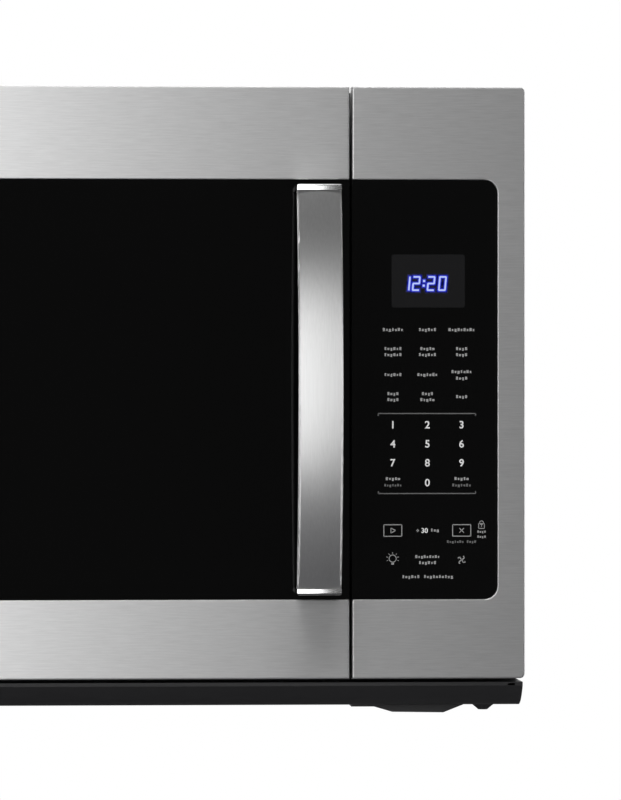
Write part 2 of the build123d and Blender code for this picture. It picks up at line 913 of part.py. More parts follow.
wrap_low = -wrap_hang
grille_middle_y = (grille_front + grille_back) / 2
adaptor_screw_x = duct_width / 2 + duct_flange / 2
top_screws = [
    (grille_left - 5, grille_middle_y),
    (grille_right + 5, grille_middle_y),
    (-adaptor_screw_x, blower_axis_y),
    (adaptor_screw_x, blower_axis_y),
]


def cord_square(grow, low, high):
    """The square round the cord's inlet, with its corners rounded."""
    side = 2 * (cord_hole_half + grow)
    square = RectangleRounded(side, side, cord_hole_corner)
    return Pos(cord_x, cord_y, low) * extrude(square, amount=high - low)


def screw_holes(low, high):
    return Part() + [rod((x, y, low), (x, y, high), screw_radius + 0.2) for x, y in top_screws]


def outer_wrap():
    outside = half - sheet
    with BuildSketch(Plane.XZ) as section:
        with Locations((0, (wrap_low + cabinet_height) / 2)):
            Rectangle(2 * outside, cabinet_height - wrap_low)
        fillet(section.vertices().group_by(Axis.Y)[-1], 3.0)
        with Locations((0, (wrap_low + cabinet_height - sheet) / 2)):
            RectangleRounded(
                2 * wrap_inside, cabinet_height - sheet - wrap_low, 2.0, mode=Mode.SUBTRACT
            )
        with Locations((0, wrap_low + 5)):
            Rectangle(2 * wrap_inside, 10, mode=Mode.SUBTRACT)
    wrap = extrude(section.sketch, amount=cabinet_depth)
    low = cabinet_height - 5
    high = cabinet_height + 5
    wrap -= block(grille_left, grille_right, grille_front, grille_back, low, high)
    wrap -= block(
        -duct_inside, duct_inside, duct_front + collar_wall, duct_back - collar_wall, low, high
    )
    wrap -= cord_square(0.0, low, high)
    for x in (-bolt_spacing / 2, bolt_spacing / 2):
        wrap -= rod((x, -bolt_from_wall, low), (x, -bolt_from_wall, high), bolt_hole_radius)
    wrap -= screw_holes(low, high)
    through = 12 * sheet
    vent_size = (through, side_vent_width, side_vent_length)
    for z in (side_vent_low, cabinet_height - side_vent_from_top):
        start = (half, chassis_y + side_vent_from_front, z)
        wrap -= slot_row(start, (0, side_vent_pitch, 0), side_vent_count, vent_size)
    return wrap


save(outer_wrap(), "outer_wrap")

# Back panel: the face that lies on the wall, with slots for the wall plate's tabs

def rear_panel():
    outline = (-inside_x, inside_x, pan_bottom, plate_top)
    panel = front_plate_solid(outline, -sheet, 0, 2.0)
    for x in (-tab_spacing / 2, tab_spacing / 2):
        panel -= front_plate_solid(
            (x - tab_slot_length / 2, x + tab_slot_length / 2,
             tab_height - tab_slot_width / 2, tab_height + tab_slot_width / 2),
            -sheet - 1, 1, tab_slot_width / 2 - 0.01,
        )
    # Pressed ribs stand inward and stiffen the sheet
    for share in (1 / 3, 2 / 3):
        middle = plate_top * share
        rib = (
            cavity_left + rib_margin, cavity_right - rib_margin, middle - rib_half_height,
            middle + rib_half_height,
        )
        rib_corner = rib_half_height * 0.8
        panel += front_plate_solid(rib, -sheet - rib_press, -sheet / 2, rib_corner)
        panel -= front_plate_solid(grown(rib, -sheet), -rib_press, 1, rib_corner - sheet)
    return panel


save(rear_panel(), "rear_panel")

# Base pan: shallow tray with a rolled nose under the door

pan_front = face_y + pan_setback
pan_side = half - sheet / 2
pan_back = -sheet - seat_gap
lens_y = chassis_y + lens_from_front
hood_left = panel_left + hood_from_panel
hood_right = half - hood_from_side
hood_front = chassis_y + 2 * sheet
dimple_x = half - dimple_from_side
dimple_y = chassis_y + dimple_from_front
filter_low = pan_inside + seat_gap
filter_high = filter_low + filter_thickness


def pan_section(inset):
    """Side profile of the pan, shrunk by the inset: flat bottom, rolled nose, flat top."""
    bottom = pan_bottom + inset
    front = pan_front + inset
    top = pan_top - inset
    back = pan_back - inset
    roll_start = chassis_y - 2
    run = roll_start - front
    rise = top - pan_nose - bottom + inset
    radius = (run ** 2 + rise ** 2) / (2 * rise)
    turn = atan2(run, radius - rise) / 2
    middle = (roll_start - radius * sin(turn), bottom + radius - radius * cos(turn))
    with BuildSketch(Plane.YZ) as section:
        with BuildLine():
            Polyline((roll_start, bottom), (back, bottom), (back, top), (front, top),
                     (front, bottom + rise))
            ThreePointArc((front, bottom + rise), middle, (roll_start, bottom))
        make_face()
    return section.sketch


def base_pan():
    pan = Pos(-pan_side, 0, 0) * extrude(pan_section(0), amount=2 * pan_side)
    inner_side = pan_side - sheet
    pan -= Pos(-inner_side, 0, 0) * extrude(pan_section(sheet), amount=2 * inner_side)
    flange_side = inside_x
    flange_front = chassis_inner + seat_gap
    mouth_low = pan_top - sheet - 1
    pan += block(
        -flange_side, flange_side, flange_front, pan_back, pan_top - sheet, pan_flange_high
    )
    pan -= block(
        -flange_side + sheet, flange_side - sheet, flange_front + sheet, pan_back - sheet,
        mouth_low, pan_flange_high + 1,
    )
    for x in filter_centres:
        pan -= block(
            x - filter_width / 2 + filter_lip, x + filter_width / 2 - filter_lip,
            filter_front + filter_lip, filter_front + filter_depth - filter_lip,
            pan_bottom - 1, pan_inside + 1,
        )
        pan -= block(
            x - lens_length / 2 + lens_lip, x + lens_length / 2 - lens_lip,
            lens_y - lens_depth / 2 + lens_lip, lens_y + lens_depth / 2 - lens_lip,
            pan_bottom - 1, pan_inside + 1,
        )
        pan += filter_rails(x)
    pan -= slot_row((hood_left + 20, hood_front + 40, pan_bottom + sheet / 2), (8, 0, 0), 6,
                    (4, 60, 4 * sheet))
    dimple = Pos(dimple_x, dimple_y, pan_bottom - 2.1) * Cone(3.2, 8.6, 4.4)
    pan += dimple
    for sign in (-1, 1):
        slot_x = sign * (half - nose_slot_from_side)
        pan -= front_plate_solid(
            (slot_x - 2.6, slot_x + 2.6, pan_top - 2.4, pan_top - 0.9), pan_front - 2,
            pan_front + 2, 0.7,
        )
    return pan


def filter_rails(x):
    """Bent rails that the grease filter slides between."""
    rails = []
    for sign in (-1, 1):
        near = x + sign * (filter_width / 2 + rail_gap)
        far = near + sign * sheet
        lip = near - sign * 5
        y_low = filter_front
        y_high = filter_front + filter_depth + filter_travel
        top = filter_high + seat_gap
        rails.append(block(*sorted((near, far)), y_low, y_high, pan_inside - 0.5, top + sheet))
        rails.append(block(*sorted((lip, far)), y_low, y_high, top, top + sheet))
    return Part() + rails


save(base_pan(), "base_pan")


def bay_hood():
    """Pressed hood under the component bay: its open back end takes in the cooling air."""
    outside = [
        (hood_left, pan_bottom), (hood_left, pan_bottom - 1.6), (hood_left + 16, pan_bottom - 1.6),
        (hood_left + 29, pan_bottom - 5.4), (hood_right - 15, pan_bottom - 5.9),
        (hood_right, pan_bottom),
    ]
    inside = [
        (hood_left + 19, pan_bottom + 1), (hood_left + 19, pan_bottom - 1.2),
        (hood_left + 30, pan_bottom - 4.4), (hood_right - 16, pan_bottom - 4.8),
        (hood_right - 4, pan_bottom - 0.4), (hood_right - 4, pan_bottom + 1),
    ]
    hood = extrude(Plane.XZ.offset(-hood_front - hood_depth) * make_face(Polyline(*outside, close=True)),
                   amount=hood_depth)
    hood -= extrude(
        Plane.XZ.offset(-hood_front - hood_depth - 1) * make_face(Polyline(*inside, close=True)),
        amount=hood_depth - 1,
    )
    hood -= slot_row(
        ((hood_left + hood_right) / 2 + 6, hood_front + 30, pan_bottom - 5), (0, 9, 0),
        hood_slots, (28, 3, 4)
    )
    return hood


save(bay_hood(), "bay_intake_hood")


def lamp_lens(x):
    """A moulded lens: its flange lies on the pan and its face stands in the pan's opening."""
    flange = block(
        x - lens_length / 2, x + lens_length / 2, lens_y - lens_depth / 2, lens_y + lens_depth / 2,
        pan_inside, pan_inside + lens_flange,
    )
    reach = lens_lip + 0.4
    face = block(
        x - lens_length / 2 + reach, x + lens_length / 2 - reach, lens_y - lens_depth / 2 + reach,
        lens_y + lens_depth / 2 - reach, pan_bottom, pan_inside + 1,
    )
    return flange + fillet(face.edges().filter_by(Axis.Z), 3)


def cooktop_lamp(x):
    """Lamp holder above the lens, with its bulb lying along X."""
    low = pan_inside + lens_flange
    holder = block(x - 36, x - 14, lens_y - 11, lens_y + 11, low, low + 18)
    bulb = rod((x - 14.5, lens_y, low + 10), (x + 20, lens_y, low + 10), 8.5)
    bulb = fillet(bulb.faces().sort_by(Axis.X)[-1].edges(), 7)
    return holder + bulb


save(group([lamp_lens(x) for x in filter_centres]), "lamp_lenses")
save(group([cooktop_lamp(x) for x in filter_centres]), "cooktop_lamps")


def grease_filter(x):
    """Folded aluminium frame round a pleated mesh core, with a thumb tab at the front."""
    side = filter_width / 2
    back = filter_front + filter_depth
    frame = block(x - side, x + side, filter_front, back, filter_low, filter_high)
    frame = fillet(frame.edges().filter_by(Axis.Z), 5)
    rim = filter_rim
    skin = filter_skin
    window = (x - side + rim, x + side - rim, filter_front + rim, back - rim)
    frame -= block(*window, filter_low - 1, filter_low + skin)
    frame -= block(*window, filter_high - skin, filter_high + 1)
    pitch = (filter_depth - 2 * rim) / filter_bars
    for i in range(filter_bars):
        y = filter_front + rim + pitch * (i + 0.5)
        for height in (filter_low + skin / 2 + 0.6, filter_high - skin / 2 - 0.6):
            frame -= Pos(x, y, height) * Box(2 * side - 2 * rim - 4, pitch * 0.55, 2.4)
    tab = block(
        x - 18, x + 18, filter_front + filter_lip + 1, filter_front + filter_lip + 2.2,
        pan_bottom - 2.5, filter_low + 1.5,
    )
    return frame + tab


save(grease_filter(filter_left_x), "grease_filter_left")
save(grease_filter(filter_right_x), "grease_filter_right")

# Vent grille in the top of the cabinet, and the charcoal filter under it


def vent_grille():
    flange_top = cabinet_height + 1.2
    ring_in = (grille_left + 3, grille_right - 3, grille_front + 3, grille_back - 3)
    grille = block(
        grille_left - 10, grille_right + 10, grille_front - 3, grille_back + 3, cabinet_height, flange_top
    )
    grille += block(
        grille_left + seat_gap, grille_right - seat_gap, grille_front + seat_gap,
        grille_back - seat_gap, grille_body_low, cabinet_height,
    )
    grille -= block(*ring_in, grille_body_low - 1, flange_top + 1)
    height = cabinet_height - grille_body_low
    lean = height * sin(radians(grille_tilt)) / cos(radians(grille_tilt))
    width = grille_right - grille_left - 6
    count = int(width / grille_pitch)
    for i in range(count):
        x = grille_left + 3 + (width - lean) * (i + 0.5) / count
        vane = make_face(Polyline(
            (x, grille_body_low), (x + grille_vane, grille_body_low),
            (x + grille_vane + lean, cabinet_height), (x + lean, cabinet_height), close=True,
        ))
        vane = extrude(Plane.XZ.offset(-grille_back + 2) * vane, amount=grille_depth - 4)
        grille += vane
    return grille - screw_holes(cabinet_height - 1, flange_top + 1)


save(vent_grille(), "vent_grille")


def charcoal_filter():
    """A plastic frame with ribs round a bed of charcoal."""
    left = grille_left + 8
    right = grille_right - 8
    front = grille_front + 1
    back = grille_back - 1
    bed = block(left, right, front, back, charcoal_low, charcoal_top)
    wall = charcoal_wall
    inner = (left + wall, right - wall, front + wall, back - wall)
    bed -= block(*inner, charcoal_low - 1, charcoal_low + 3)
    bed -= block(*inner, charcoal_top - 3, charcoal_top + 1)
    for i in range(1, 10):
        x = left + (right - left) * i / 10
        bed += block(x - 1, x + 1, front, back, charcoal_low, charcoal_top)
    return bed


save(charcoal_filter(), "charcoal_filter")

# Turntable: motor under the floor, coupler, roller ring with three wheels, glass tray

wheel_axis_z = cavity_floor + seat_gap + wheel_radius
wheel_top = wheel_axis_z + wheel_radius
tray_low = wheel_top + seat_gap
motor_top = cavity_floor - sheet
coupler_top = tray_low + tray_relief - seat_gap
spindle_top = motor_top + spindle_height


def turntable_motor():
    low = motor_top - motor_ear - turntable_motor_height
    motor = rod(
        (turntable_x, turntable_y, low), (turntable_x, turntable_y, motor_top - motor_ear),
        turntable_motor_radius,
    )
    motor = chamfer(motor.faces().sort_by(Axis.Z)[0].edges(), 2)
    with BuildSketch() as ears:
        SlotCenterToCenter(2 * turntable_motor_radius + 8, 12)
        with Locations((-turntable_motor_radius - 4, 0), (turntable_motor_radius + 4, 0)):
            Circle(2.2, mode=Mode.SUBTRACT)
        Circle(turntable_motor_radius - 4)
    place = Pos(turntable_x, turntable_y, motor_top - motor_ear)
    motor += place * extrude(ears.sketch, amount=motor_ear)
    motor += block(
        turntable_x - 10, turntable_x + 10, turntable_y - turntable_motor_radius - 8,
        turntable_y - turntable_motor_radius + 4, low + 2, low + 12,
    )
    motor += rod(
        (turntable_x, turntable_y, motor_top - motor_ear), (turntable_x, turntable_y, spindle_top),
        drive_shaft_radius,
    )
    return motor


save(turntable_motor(), "turntable_motor")


def spoke(angle, start, length, low, high, shift=0.0):
    """A bar that points outward from the turntable's axis at an angle in degrees."""
    bar = Pos(start + length / 2, shift, (low + high) / 2) * Box(length, 2 * arm_half_width, high - low)
    return Pos(turntable_x, turntable_y, 0) * Rot(0, 0, angle) * bar


def turntable_coupler():
    hub_low = cavity_floor + 0.8
    coupler = rod(
        (turntable_x, turntable_y, hub_low), (turntable_x, turntable_y, coupler_top), 9.0
    )
    for i in range(3):
        coupler += spoke(120 * i, 4, coupler_radius - 4, coupler_top - coupler_height, coupler_top)
    tips = [
        e for e in coupler.edges().filter_by(Axis.Z)
        if hypot(e.center().X - turntable_x, e.center().Y - turntable_y) > coupler_radius - 1
    ]
    coupler = fillet(tips, 2.5)
    coupler -= rod(
        (turntable_x, turntable_y, hub_low - 1), (turntable_x, turntable_y, spindle_top + seat_gap),
        drive_shaft_radius + running_gap,
    )
    return coupler


save(turntable_coupler(), "turntable_coupler")


def roller_ring():
    """A moulded ring with three stub axles, each with a shoulder and a snap head."""
    low = wheel_axis_z - ring_thickness / 2
    axis_low = (turntable_x, turntable_y, low)
    axis_high = (turntable_x, turntable_y, low + ring_thickness)
    ring = tube(axis_low, axis_high, ring_radius, ring_radius - ring_width)
    inner = wheel_track - wheel_width / 2
    outer = wheel_track + wheel_width / 2
    for i in range(3):
        turn = Pos(turntable_x, turntable_y, wheel_axis_z) * Rot(0, 0, 90 + 120 * i)
        axle = rod((ring_radius - 2, 0, 0), (outer + seat_gap + 1.4, 0, 0), axle_radius)
        axle += rod((ring_radius - 2, 0, 0), (inner - seat_gap, 0, 0), axle_radius + 1.6)
        axle += rod((outer + seat_gap, 0, 0), (outer + seat_gap + 1.4, 0, 0), axle_radius + 0.7)
        ring += turn * axle
    return ring


save(roller_ring(), "roller_ring")


def roller_wheel(index):
    """A small wheel with a dished face and a rounded tread."""
    inner = wheel_track - wheel_width / 2
    outer = wheel_track + wheel_width / 2
    wheel = rod((inner, 0, 0), (outer, 0, 0), wheel_radius)
    wheel = fillet(wheel.edges(), 1.2)
    wheel -= tube((outer - 1.5, 0, 0), (outer + 1, 0, 0), wheel_radius - 2, axle_radius + 1.5)
    wheel -= rod((inner - 1, 0, 0), (outer + 1, 0, 0), axle_radius + running_gap)
    return Pos(turntable_x, turntable_y, wheel_axis_z) * Rot(0, 0, 90 + 120 * index) * wheel


for index in range(3):
    save(roller_wheel(index), f"roller_wheel_{index + 1}")


def glass_tray():
    """A pressed glass tray: flat roller track, raised centre below, and a swept-up rim."""
    relief = tray_low + tray_relief
    top = relief + tray_thickness - 1
    rim_top = top + tray_rim
    track_in = wheel_track - wheel_width / 2 - 5
    track_out = wheel_track + wheel_width / 2 + 5
    edge = tray_radius
    with BuildSketch(Plane.XZ) as half_section:
        with BuildLine():
            Polyline(
                (0, relief), (track_in - 2, relief), (track_in, tray_low), (track_out, tray_low),
                (track_out + 2, relief), (edge - 18, relief),
            )
            ThreePointArc((edge - 18, relief), (edge - 5, relief + 5), (edge - 0.5, rim_top - 3))
            ThreePointArc((edge - 0.5, rim_top - 3), (edge - 1.5, rim_top), (edge - 4, rim_top - 3))
            ThreePointArc((edge - 4, rim_top - 3), (edge - 9, top + 2.5), (edge - 20, top))
            Polyline((edge - 20, top), (0, top), (0, relief))
        make_face()
    tray = Pos(turntable_x, turntable_y, 0) * revolve(half_section.sketch, Axis.Z)
    # Three drive lugs, each beside an arm of the coupler
    for i in range(3):
        shift = 2 * arm_half_width + 0.5
        tray += spoke(120 * i, 12, 8, relief - lug_depth, relief + 1, shift)
    return tray


save(glass_tray(), "glass_tray")

# Blower: a motor between two squirrel-cage wheels on one shaft, in a double scroll

wheel_start = blower_motor_length / 2 + 6
wheel_end = wheel_start + blower_wheel_width
scroll_side = duct_width / 2
motor_wall = blower_motor_length / 2 + 2


def scroll_section(inset):
    """U shaped side profile of the scroll, shrunk by the inset and open at the top."""
    front = duct_front + inset
    back = duct_back - inset
    bottom = scroll_low + inset
    return Plane.YZ * make_face([
        Line((front, scroll_top + 1), (front, blower_axis_z)),
        ThreePointArc(
            (front, blower_axis_z), (blower_axis_y, bottom), (back, blower_axis_z)
        ),
        Line((back, blower_axis_z), (back, scroll_top + 1)),
        Line((back, scroll_top + 1), (front, scroll_top + 1)),
    ])


def blower_housing():
    shell = Pos(-scroll_side, 0, 0) * extrude(scroll_section(0), amount=2 * scroll_side)
    for low, high in ((-scroll_side + sheet, -motor_wall), (motor_wall, scroll_side - sheet)):
        shell -= Pos(low, 0, 0) * extrude(scroll_section(sheet), amount=high - low)
    shell -= block(
        -motor_wall + sheet, motor_wall - sheet, duct_front - 1, duct_back - sheet,
        scroll_low - 1, scroll_top - sheet,
    )
    shell -= rod(
        (-scroll_side - 1, blower_axis_y, blower_axis_z),
        (scroll_side + 1, blower_axis_y, blower_axis_z), blower_wheel_radius - 6,
    )
    shell -= block(
        -scroll_side - 1, scroll_side + 1, duct_front - 1, duct_back + 1, scroll_top, scroll_top + 2
    )
    # The cut-off tongue of each scroll
    tongue = make_face(Polyline(
        (duct_front + sheet / 2, scroll_top - 6), (duct_front + sheet / 2, scroll_top - 24),
        (duct_front + 9, scroll_top - 20), (duct_front + 7, scroll_top - 17), close=True,
    ))
    for low in (-scroll_side + sheet / 2, motor_wall - sheet / 2):
        shell += Pos(low, 0, 0) * extrude(
            Plane.YZ * tongue, amount=scroll_side - motor_wall
        )
    # Feet that stand on the cavity's roof
    for x in (-scroll_side + 20, scroll_side - 20):
        shell += block(
            x - 9, x + 9, blower_axis_y - 20, blower_axis_y + 20, cavity_top + sheet,
            scroll_low + sheet,
        )
    return shell


save(blower_housing(), "blower_housing")


def blower_motor():
    """Rounded motor can with end bosses, and the strap that hangs it in the housing."""
    length = blower_motor_length
    can = rod(
        (-length / 2 + 6, blower_axis_y, blower_axis_z), (length / 2 - 6, blower_axis_y, blower_axis_z),
        blower_motor_radius,
    )
    can = fillet(can.edges(), 4)
    can += rod(
        (-length / 2, blower_axis_y, blower_axis_z), (length / 2, blower_axis_y, blower_axis_z), 10
    )
    can += block(
        -12, 12, blower_axis_y - 5, blower_axis_y + 5, blower_axis_z + blower_motor_radius - 3,
        scroll_top - sheet,
    )
    can -= rod(
        (-length, blower_axis_y, blower_axis_z), (length, blower_axis_y, blower_axis_z),
        blower_shaft_radius + running_gap,
    )
    return can


save(blower_motor(), "blower_motor")


def blower_wheels():
    """Forward-curved blades between a hub disc and an end ring, twice, on one shaft."""
    reach = wheel_end - 4
    wheels = rod((-reach, blower_axis_y, blower_axis_z), (reach, blower_axis_y, blower_axis_z),
                 blower_shaft_radius)
    blade_in = blower_wheel_radius - 9
    blade_out = blower_wheel_radius - 0.5
    blade = make_face([
        ThreePointArc((blade_in, 0), ((blade_in + blade_out) / 2, -2.6), (blade_out, 0.5)),
        Line((blade_out, 0.5), (blade_out, 1.5)),
        ThreePointArc((blade_out, 1.5), ((blade_in + blade_out) / 2, -1.6), (blade_in, 1)),
        Line((blade_in, 1), (blade_in, 0)),
    ])
    blades = Sketch() + [Rot(0, 0, 360 * i / blower_blades) * blade for i in range(blower_blades)]
    for sign in (-1, 1):
        near = sign * wheel_start
        far = sign * wheel_end
        low = min(near, far)
        at = Pos(low, blower_axis_y, blower_axis_z)
        cage = at * extrude(Plane.YZ * blades, amount=blower_wheel_width)
        disc = rod((near, blower_axis_y, blower_axis_z),
                   (near + sign * 1.5, blower_axis_y, blower_axis_z), blower_wheel_radius)
        hub = rod((near, blower_axis_y, blower_axis_z),
                  (near + sign * 14, blower_axis_y, blower_axis_z), 9)
        ring = tube((far - sign * 3, blower_axis_y, blower_axis_z),
                    (far, blower_axis_y, blower_axis_z), blower_wheel_radius, blade_in + 3)
        wheels += cage + disc + hub + ring
    return wheels


save(blower_wheels(), "blower_wheels")

# Exhaust adaptor with its collar, and the damper flap that hangs shut in it

collar_top = cabinet_height + duct_collar_height
flap_z = cabinet_height + flap_height
flap_pivot_y = duct_back - collar_wall - 5
flap_front = duct_front + collar_wall + flap_side_gap


def exhaust_adaptor():
    flange = block(
        -duct_width / 2 - duct_flange, duct_width / 2 + duct_flange, duct_front - duct_flange,
        duct_back + duct_flange, cabinet_height, cabinet_height + collar_wall,
    )
    collar = block(-duct_width / 2, duct_width / 2, duct_front, duct_back, cabinet_height, collar_top)
    adaptor = flange + collar
    adaptor -= block(
        -duct_inside, duct_inside, duct_front + collar_wall, duct_back - collar_wall,
        cabinet_height - 1, collar_top + 1,
    )
    adaptor += block(
        -duct_inside, duct_inside, duct_front + collar_wall / 2, duct_front + collar_wall + 4,
        flap_z - flap_thickness / 2 - seat_gap - 1, flap_z - flap_thickness / 2 - seat_gap,
    )
    adaptor -= rod(
        (-duct_width, flap_pivot_y, flap_z), (duct_width, flap_pivot_y, flap_z),
        damper_pin_radius + running_gap,
    )
    return adaptor - screw_holes(cabinet_height - 1, cabinet_height + collar_wall + 1)


save(exhaust_adaptor(), "exhaust_adaptor")


def damper_flap():
    """A light sheet with a rolled edge round its pivot pin and a stiffening bend at its front."""
    side = duct_inside - flap_side_gap
    flap = block(
        -side, side, flap_front, flap_pivot_y, flap_z - flap_thickness / 2, flap_z + flap_thickness / 2
    )
    flap += rod((-side, flap_pivot_y, flap_z), (side, flap_pivot_y, flap_z), damper_pin_radius + 1)
    flap += rod(
        (-duct_width / 2, flap_pivot_y, flap_z), (duct_width / 2, flap_pivot_y, flap_z),
        damper_pin_radius,
    )
    flap += block(-side + 6, side - 6, flap_front, flap_front + 1, flap_z, flap_z + 4)
    return flap


save(damper_flap(), "damper_flap")


def cap_screw(x, y, seat):
    """A pan head screw driven down through a flange."""
    shank = rod((x, y, seat - 6), (x, y, seat), screw_radius)
    head = rod((x, y, seat), (x, y, seat + 2.2), 2 * screw_radius)
    return shank + fillet(head.faces().sort_by(Axis.Z)[-1].edges(), 1.2)


save(group([cap_screw(x, y, cabinet_height + collar_wall) for x, y in top_screws]), "cabinet_screws")

# Cord inlet: a snap-in ring in the cabinet's top


def cord_bushing():
    under = cabinet_height - sheet
    bushing = cord_square(-seat_gap, under - 4, cabinet_height + 1)
    bushing += cord_square(3.0, cabinet_height, cabinet_height + 2)
    bushing += cord_square(1.2, under - 2.4, under - seat_gap)
    return bushing - rod(
        (cord_x, cord_y, under - 9), (cord_x, cord_y, cabinet_height + 9), cord_bore_radius
    )


save(cord_bushing(), "cord_bushing")

# Microwave source: waveguide on the cavity's side, magnetron on the waveguide

guide_left = cavity_right + sheet
guide_right = guide_left + guide_depth


def waveguide():
    guide = block(guide_left, guide_right, guide_front, guide_back, guide_low, guide_high)
    guide = fillet(guide.edges().filter_by(Axis.Y).group_by(Axis.X)[-1], 8)
    guide -= block(
        guide_left + guide_wall, guide_right - guide_wall, guide_front + guide_wall,
        guide_back - guide_wall, guide_low + guide_wall, guide_high - guide_wall,
    )
    guide -= block(
        guide_left - 1, guide_left + 2, guide_front + feed_margin, guide_back - feed_margin, feed_low,
        feed_high
    )
    guide -= rod(
        (guide_right - 5, magnetron_y, magnetron_z), (guide_right + 5, magnetron_y, magnetron_z),
        antenna_radius + 2.5,
    )
    return guide


save(waveguide(), "waveguide")


def magnetron():
    """Steel yoke open front and back, ring magnets, finned anode, antenna and filter box."""
    left = guide_right
    right = left + yoke_length
    low = magnetron_z - yoke_height / 2
    high = magnetron_z + yoke_height / 2
    yoke = block(left, right, guide_front, guide_back, low, high)
    yoke -= block(
        left + yoke_wall, right - yoke_wall, guide_front - 1, guide_back + 1,
        low + yoke_wall, high - yoke_wall,
    )
    middle = (magnetron_y, magnetron_z)
    core = rod((left, *middle), (right, *middle), 17)
    core += rod((left, *middle), (left + yoke_wall + magnet_thickness, *middle), magnet_radius)
    core += rod((right - yoke_wall - magnet_thickness, *middle), (right, *middle), magnet_radius)
    core += rod((left - 22, *middle), (left + 1, *middle), antenna_radius)
    start = left + yoke_wall + magnet_thickness
    step = (yoke_length - 2 * (yoke_wall + magnet_thickness)) / (magnetron_fin_count + 1)
    for i in range(1, magnetron_fin_count + 1):
        x = start + step * i
        core += block(x - 0.4, x + 0.4, guide_front + 4, guide_back - 4, low + 3, high - 3)
    box = block(right, right + 22, magnetron_y - 24, magnetron_y + 24, low + 12, high - 12)
    return yoke + core + fillet(box.edges().filter_by(Axis.X), 4)


save(magnetron(), "magnetron")

# Power supply on the pan of the component bay

core_right = half - core_from_side
core_left = core_right - core_width
core_back = -core_from_wall
core_front = core_back - core_depth
leg_left = core_left + (core_width - core_leg) / 2
leg_right = leg_left + core_leg
window_low = pan_inside + core_window_low
window_high = window_low + core_window_height


def transformer_core():
    core = block(core_left, core_right, core_front, core_back, pan_inside, pan_inside + core_height)
    for low, high in ((leg_left - winding_width - 1, leg_left), (leg_right, leg_right + winding_width + 1)):
        core -= block(low, high, core_front - 1, core_back + 1, window_low, window_high)
    core += block(
        core_left - 6, core_right + 6, core_front + 8, core_back - 8, pan_inside, pan_inside + 3
    )
    return core


def winding(low, high):
    """A wound coil round the core's middle leg."""
    coil = block(
        leg_left - winding_width, leg_right + winding_width, core_front - winding_bulge,
        core_back + winding_bulge, low, high,
    )
    coil = fillet(coil.edges().filter_by(Axis.Z), 14)
    coil = fillet(coil.faces().filter_by(Axis.Z).edges(), 3)
    return coil - block(
        leg_left - seat_gap, leg_right + seat_gap, core_front - seat_gap, core_back + seat_gap,
        low - 1, high + 1,
    )


save(transformer_core(), "transformer_core")
middle_z = (window_low + window_high) / 2
windings = group([
    winding(window_low + seat_gap, middle_z - 1.5), winding(middle_z + 1.5, window_high - seat_gap)
])
save(windings, "transformer_windings")


def capacitor_and_diode():
    """The oval capacitor can with its two tags, and the diode beside it."""
    can = extrude(SlotCenterToCenter(22, 32), amount=capacitor_height)
    can = fillet(can.faces().sort_by(Axis.Z)[-1].edges(), 2.5)
    for x in (-10, 10):
        can += Pos(x, 0, capacitor_height + 4) * Box(6.3, 0.8, 12)
    can += Pos(0, 0, 1) * Box(70, 14, 2)
    diode = fillet((Pos(0, 0, 4.5) * Box(22, 9, 9)).edges().filter_by(Axis.X), 2.5)
    return [
        Pos(half - capacitor_from_side, -capacitor_from_wall, pan_inside) * can,
        Pos(half - diode_from_side, -capacitor_from_wall, pan_inside) * diode,
    ]


save(group(capacitor_and_diode()), "capacitor")


def filter_board():
    """Printed board on four posts, with the mains choke, its capacitors and the fuse."""
    right = half - mains_board_from_side
    left = right - mains_board_width
    high = cabinet_height - mains_board_from_top
    low = high - mains_board_height
    front = -mains_board_from_wall
    seat = front + board_thickness / 3
    board = front_plate_solid((left, right, low, high), front, front + board_thickness, 2)
    for x in (left + 6, right - 6):
        for z in (low + 6, high - 6):
            board += rod((x, seat, z), (x, -sheet, z), 3)
    board += rod((left + 22, seat, low + 31), (left + 22, front - 16, low + 31), 13)
    board += block(left + 42, left + 62, front - 14, seat, low + 11, low + 37)
    board += block(left + 68, left + 88, front - 10, seat, low + 11, low + 27)
    board += rod((left + 45, front - 4, low + 49), (left + 78, front - 4, low + 49), 3.2)
    for x in (left + 46, left + 75):
        board += block(x, x + 3, front - 6, seat, low + 45, low + 53)
    return board


save(filter_board(), "filter_board")

# Cooling fan for the magnetron, in its shroud on the back panel

shroud_half = bay_fan_radius + shroud_margin
shroud_left = bay_fan_x - shroud_half
shroud_right = bay_fan_x + shroud_half
shroud_plate_y = -shroud_from_wall
shroud_front = shroud_plate_y - shroud_depth
fan_low_y = shroud_front + 4


def cooling_fan():
    """Twisted blades on a hub, with the shaft that goes back into the motor."""
    fan = extrude(Circle(fan_hub_radius), amount=fan_depth)
    fan = fillet(fan.faces().sort_by(Axis.Z)[-1].edges(), 4)
    root = Plane.YZ.offset(fan_hub_radius - 3) * Rot(0, 0, 42) * Rectangle(20, 1.6)
    tip = Plane.YZ.offset(bay_fan_radius) * Rot(0, 0, 24) * Rectangle(36, 1.2)
    sweep_room = extrude(Circle(bay_fan_radius - fan_clearance), amount=2 * fan_depth, both=True)
    blade = (Pos(0, 0, fan_depth / 2) * loft([root, tip])) & sweep_room
    for i in range(bay_fan_blades):
        fan += Rot(0, 0, 360 * i / bay_fan_blades) * blade
    fan += Pos(0, 0, -18) * extrude(Circle(fan_shaft_radius), amount=19)
    return Pos(bay_fan_x, fan_low_y + fan_depth, bay_fan_z) * Rot(90, 0, 0) * fan


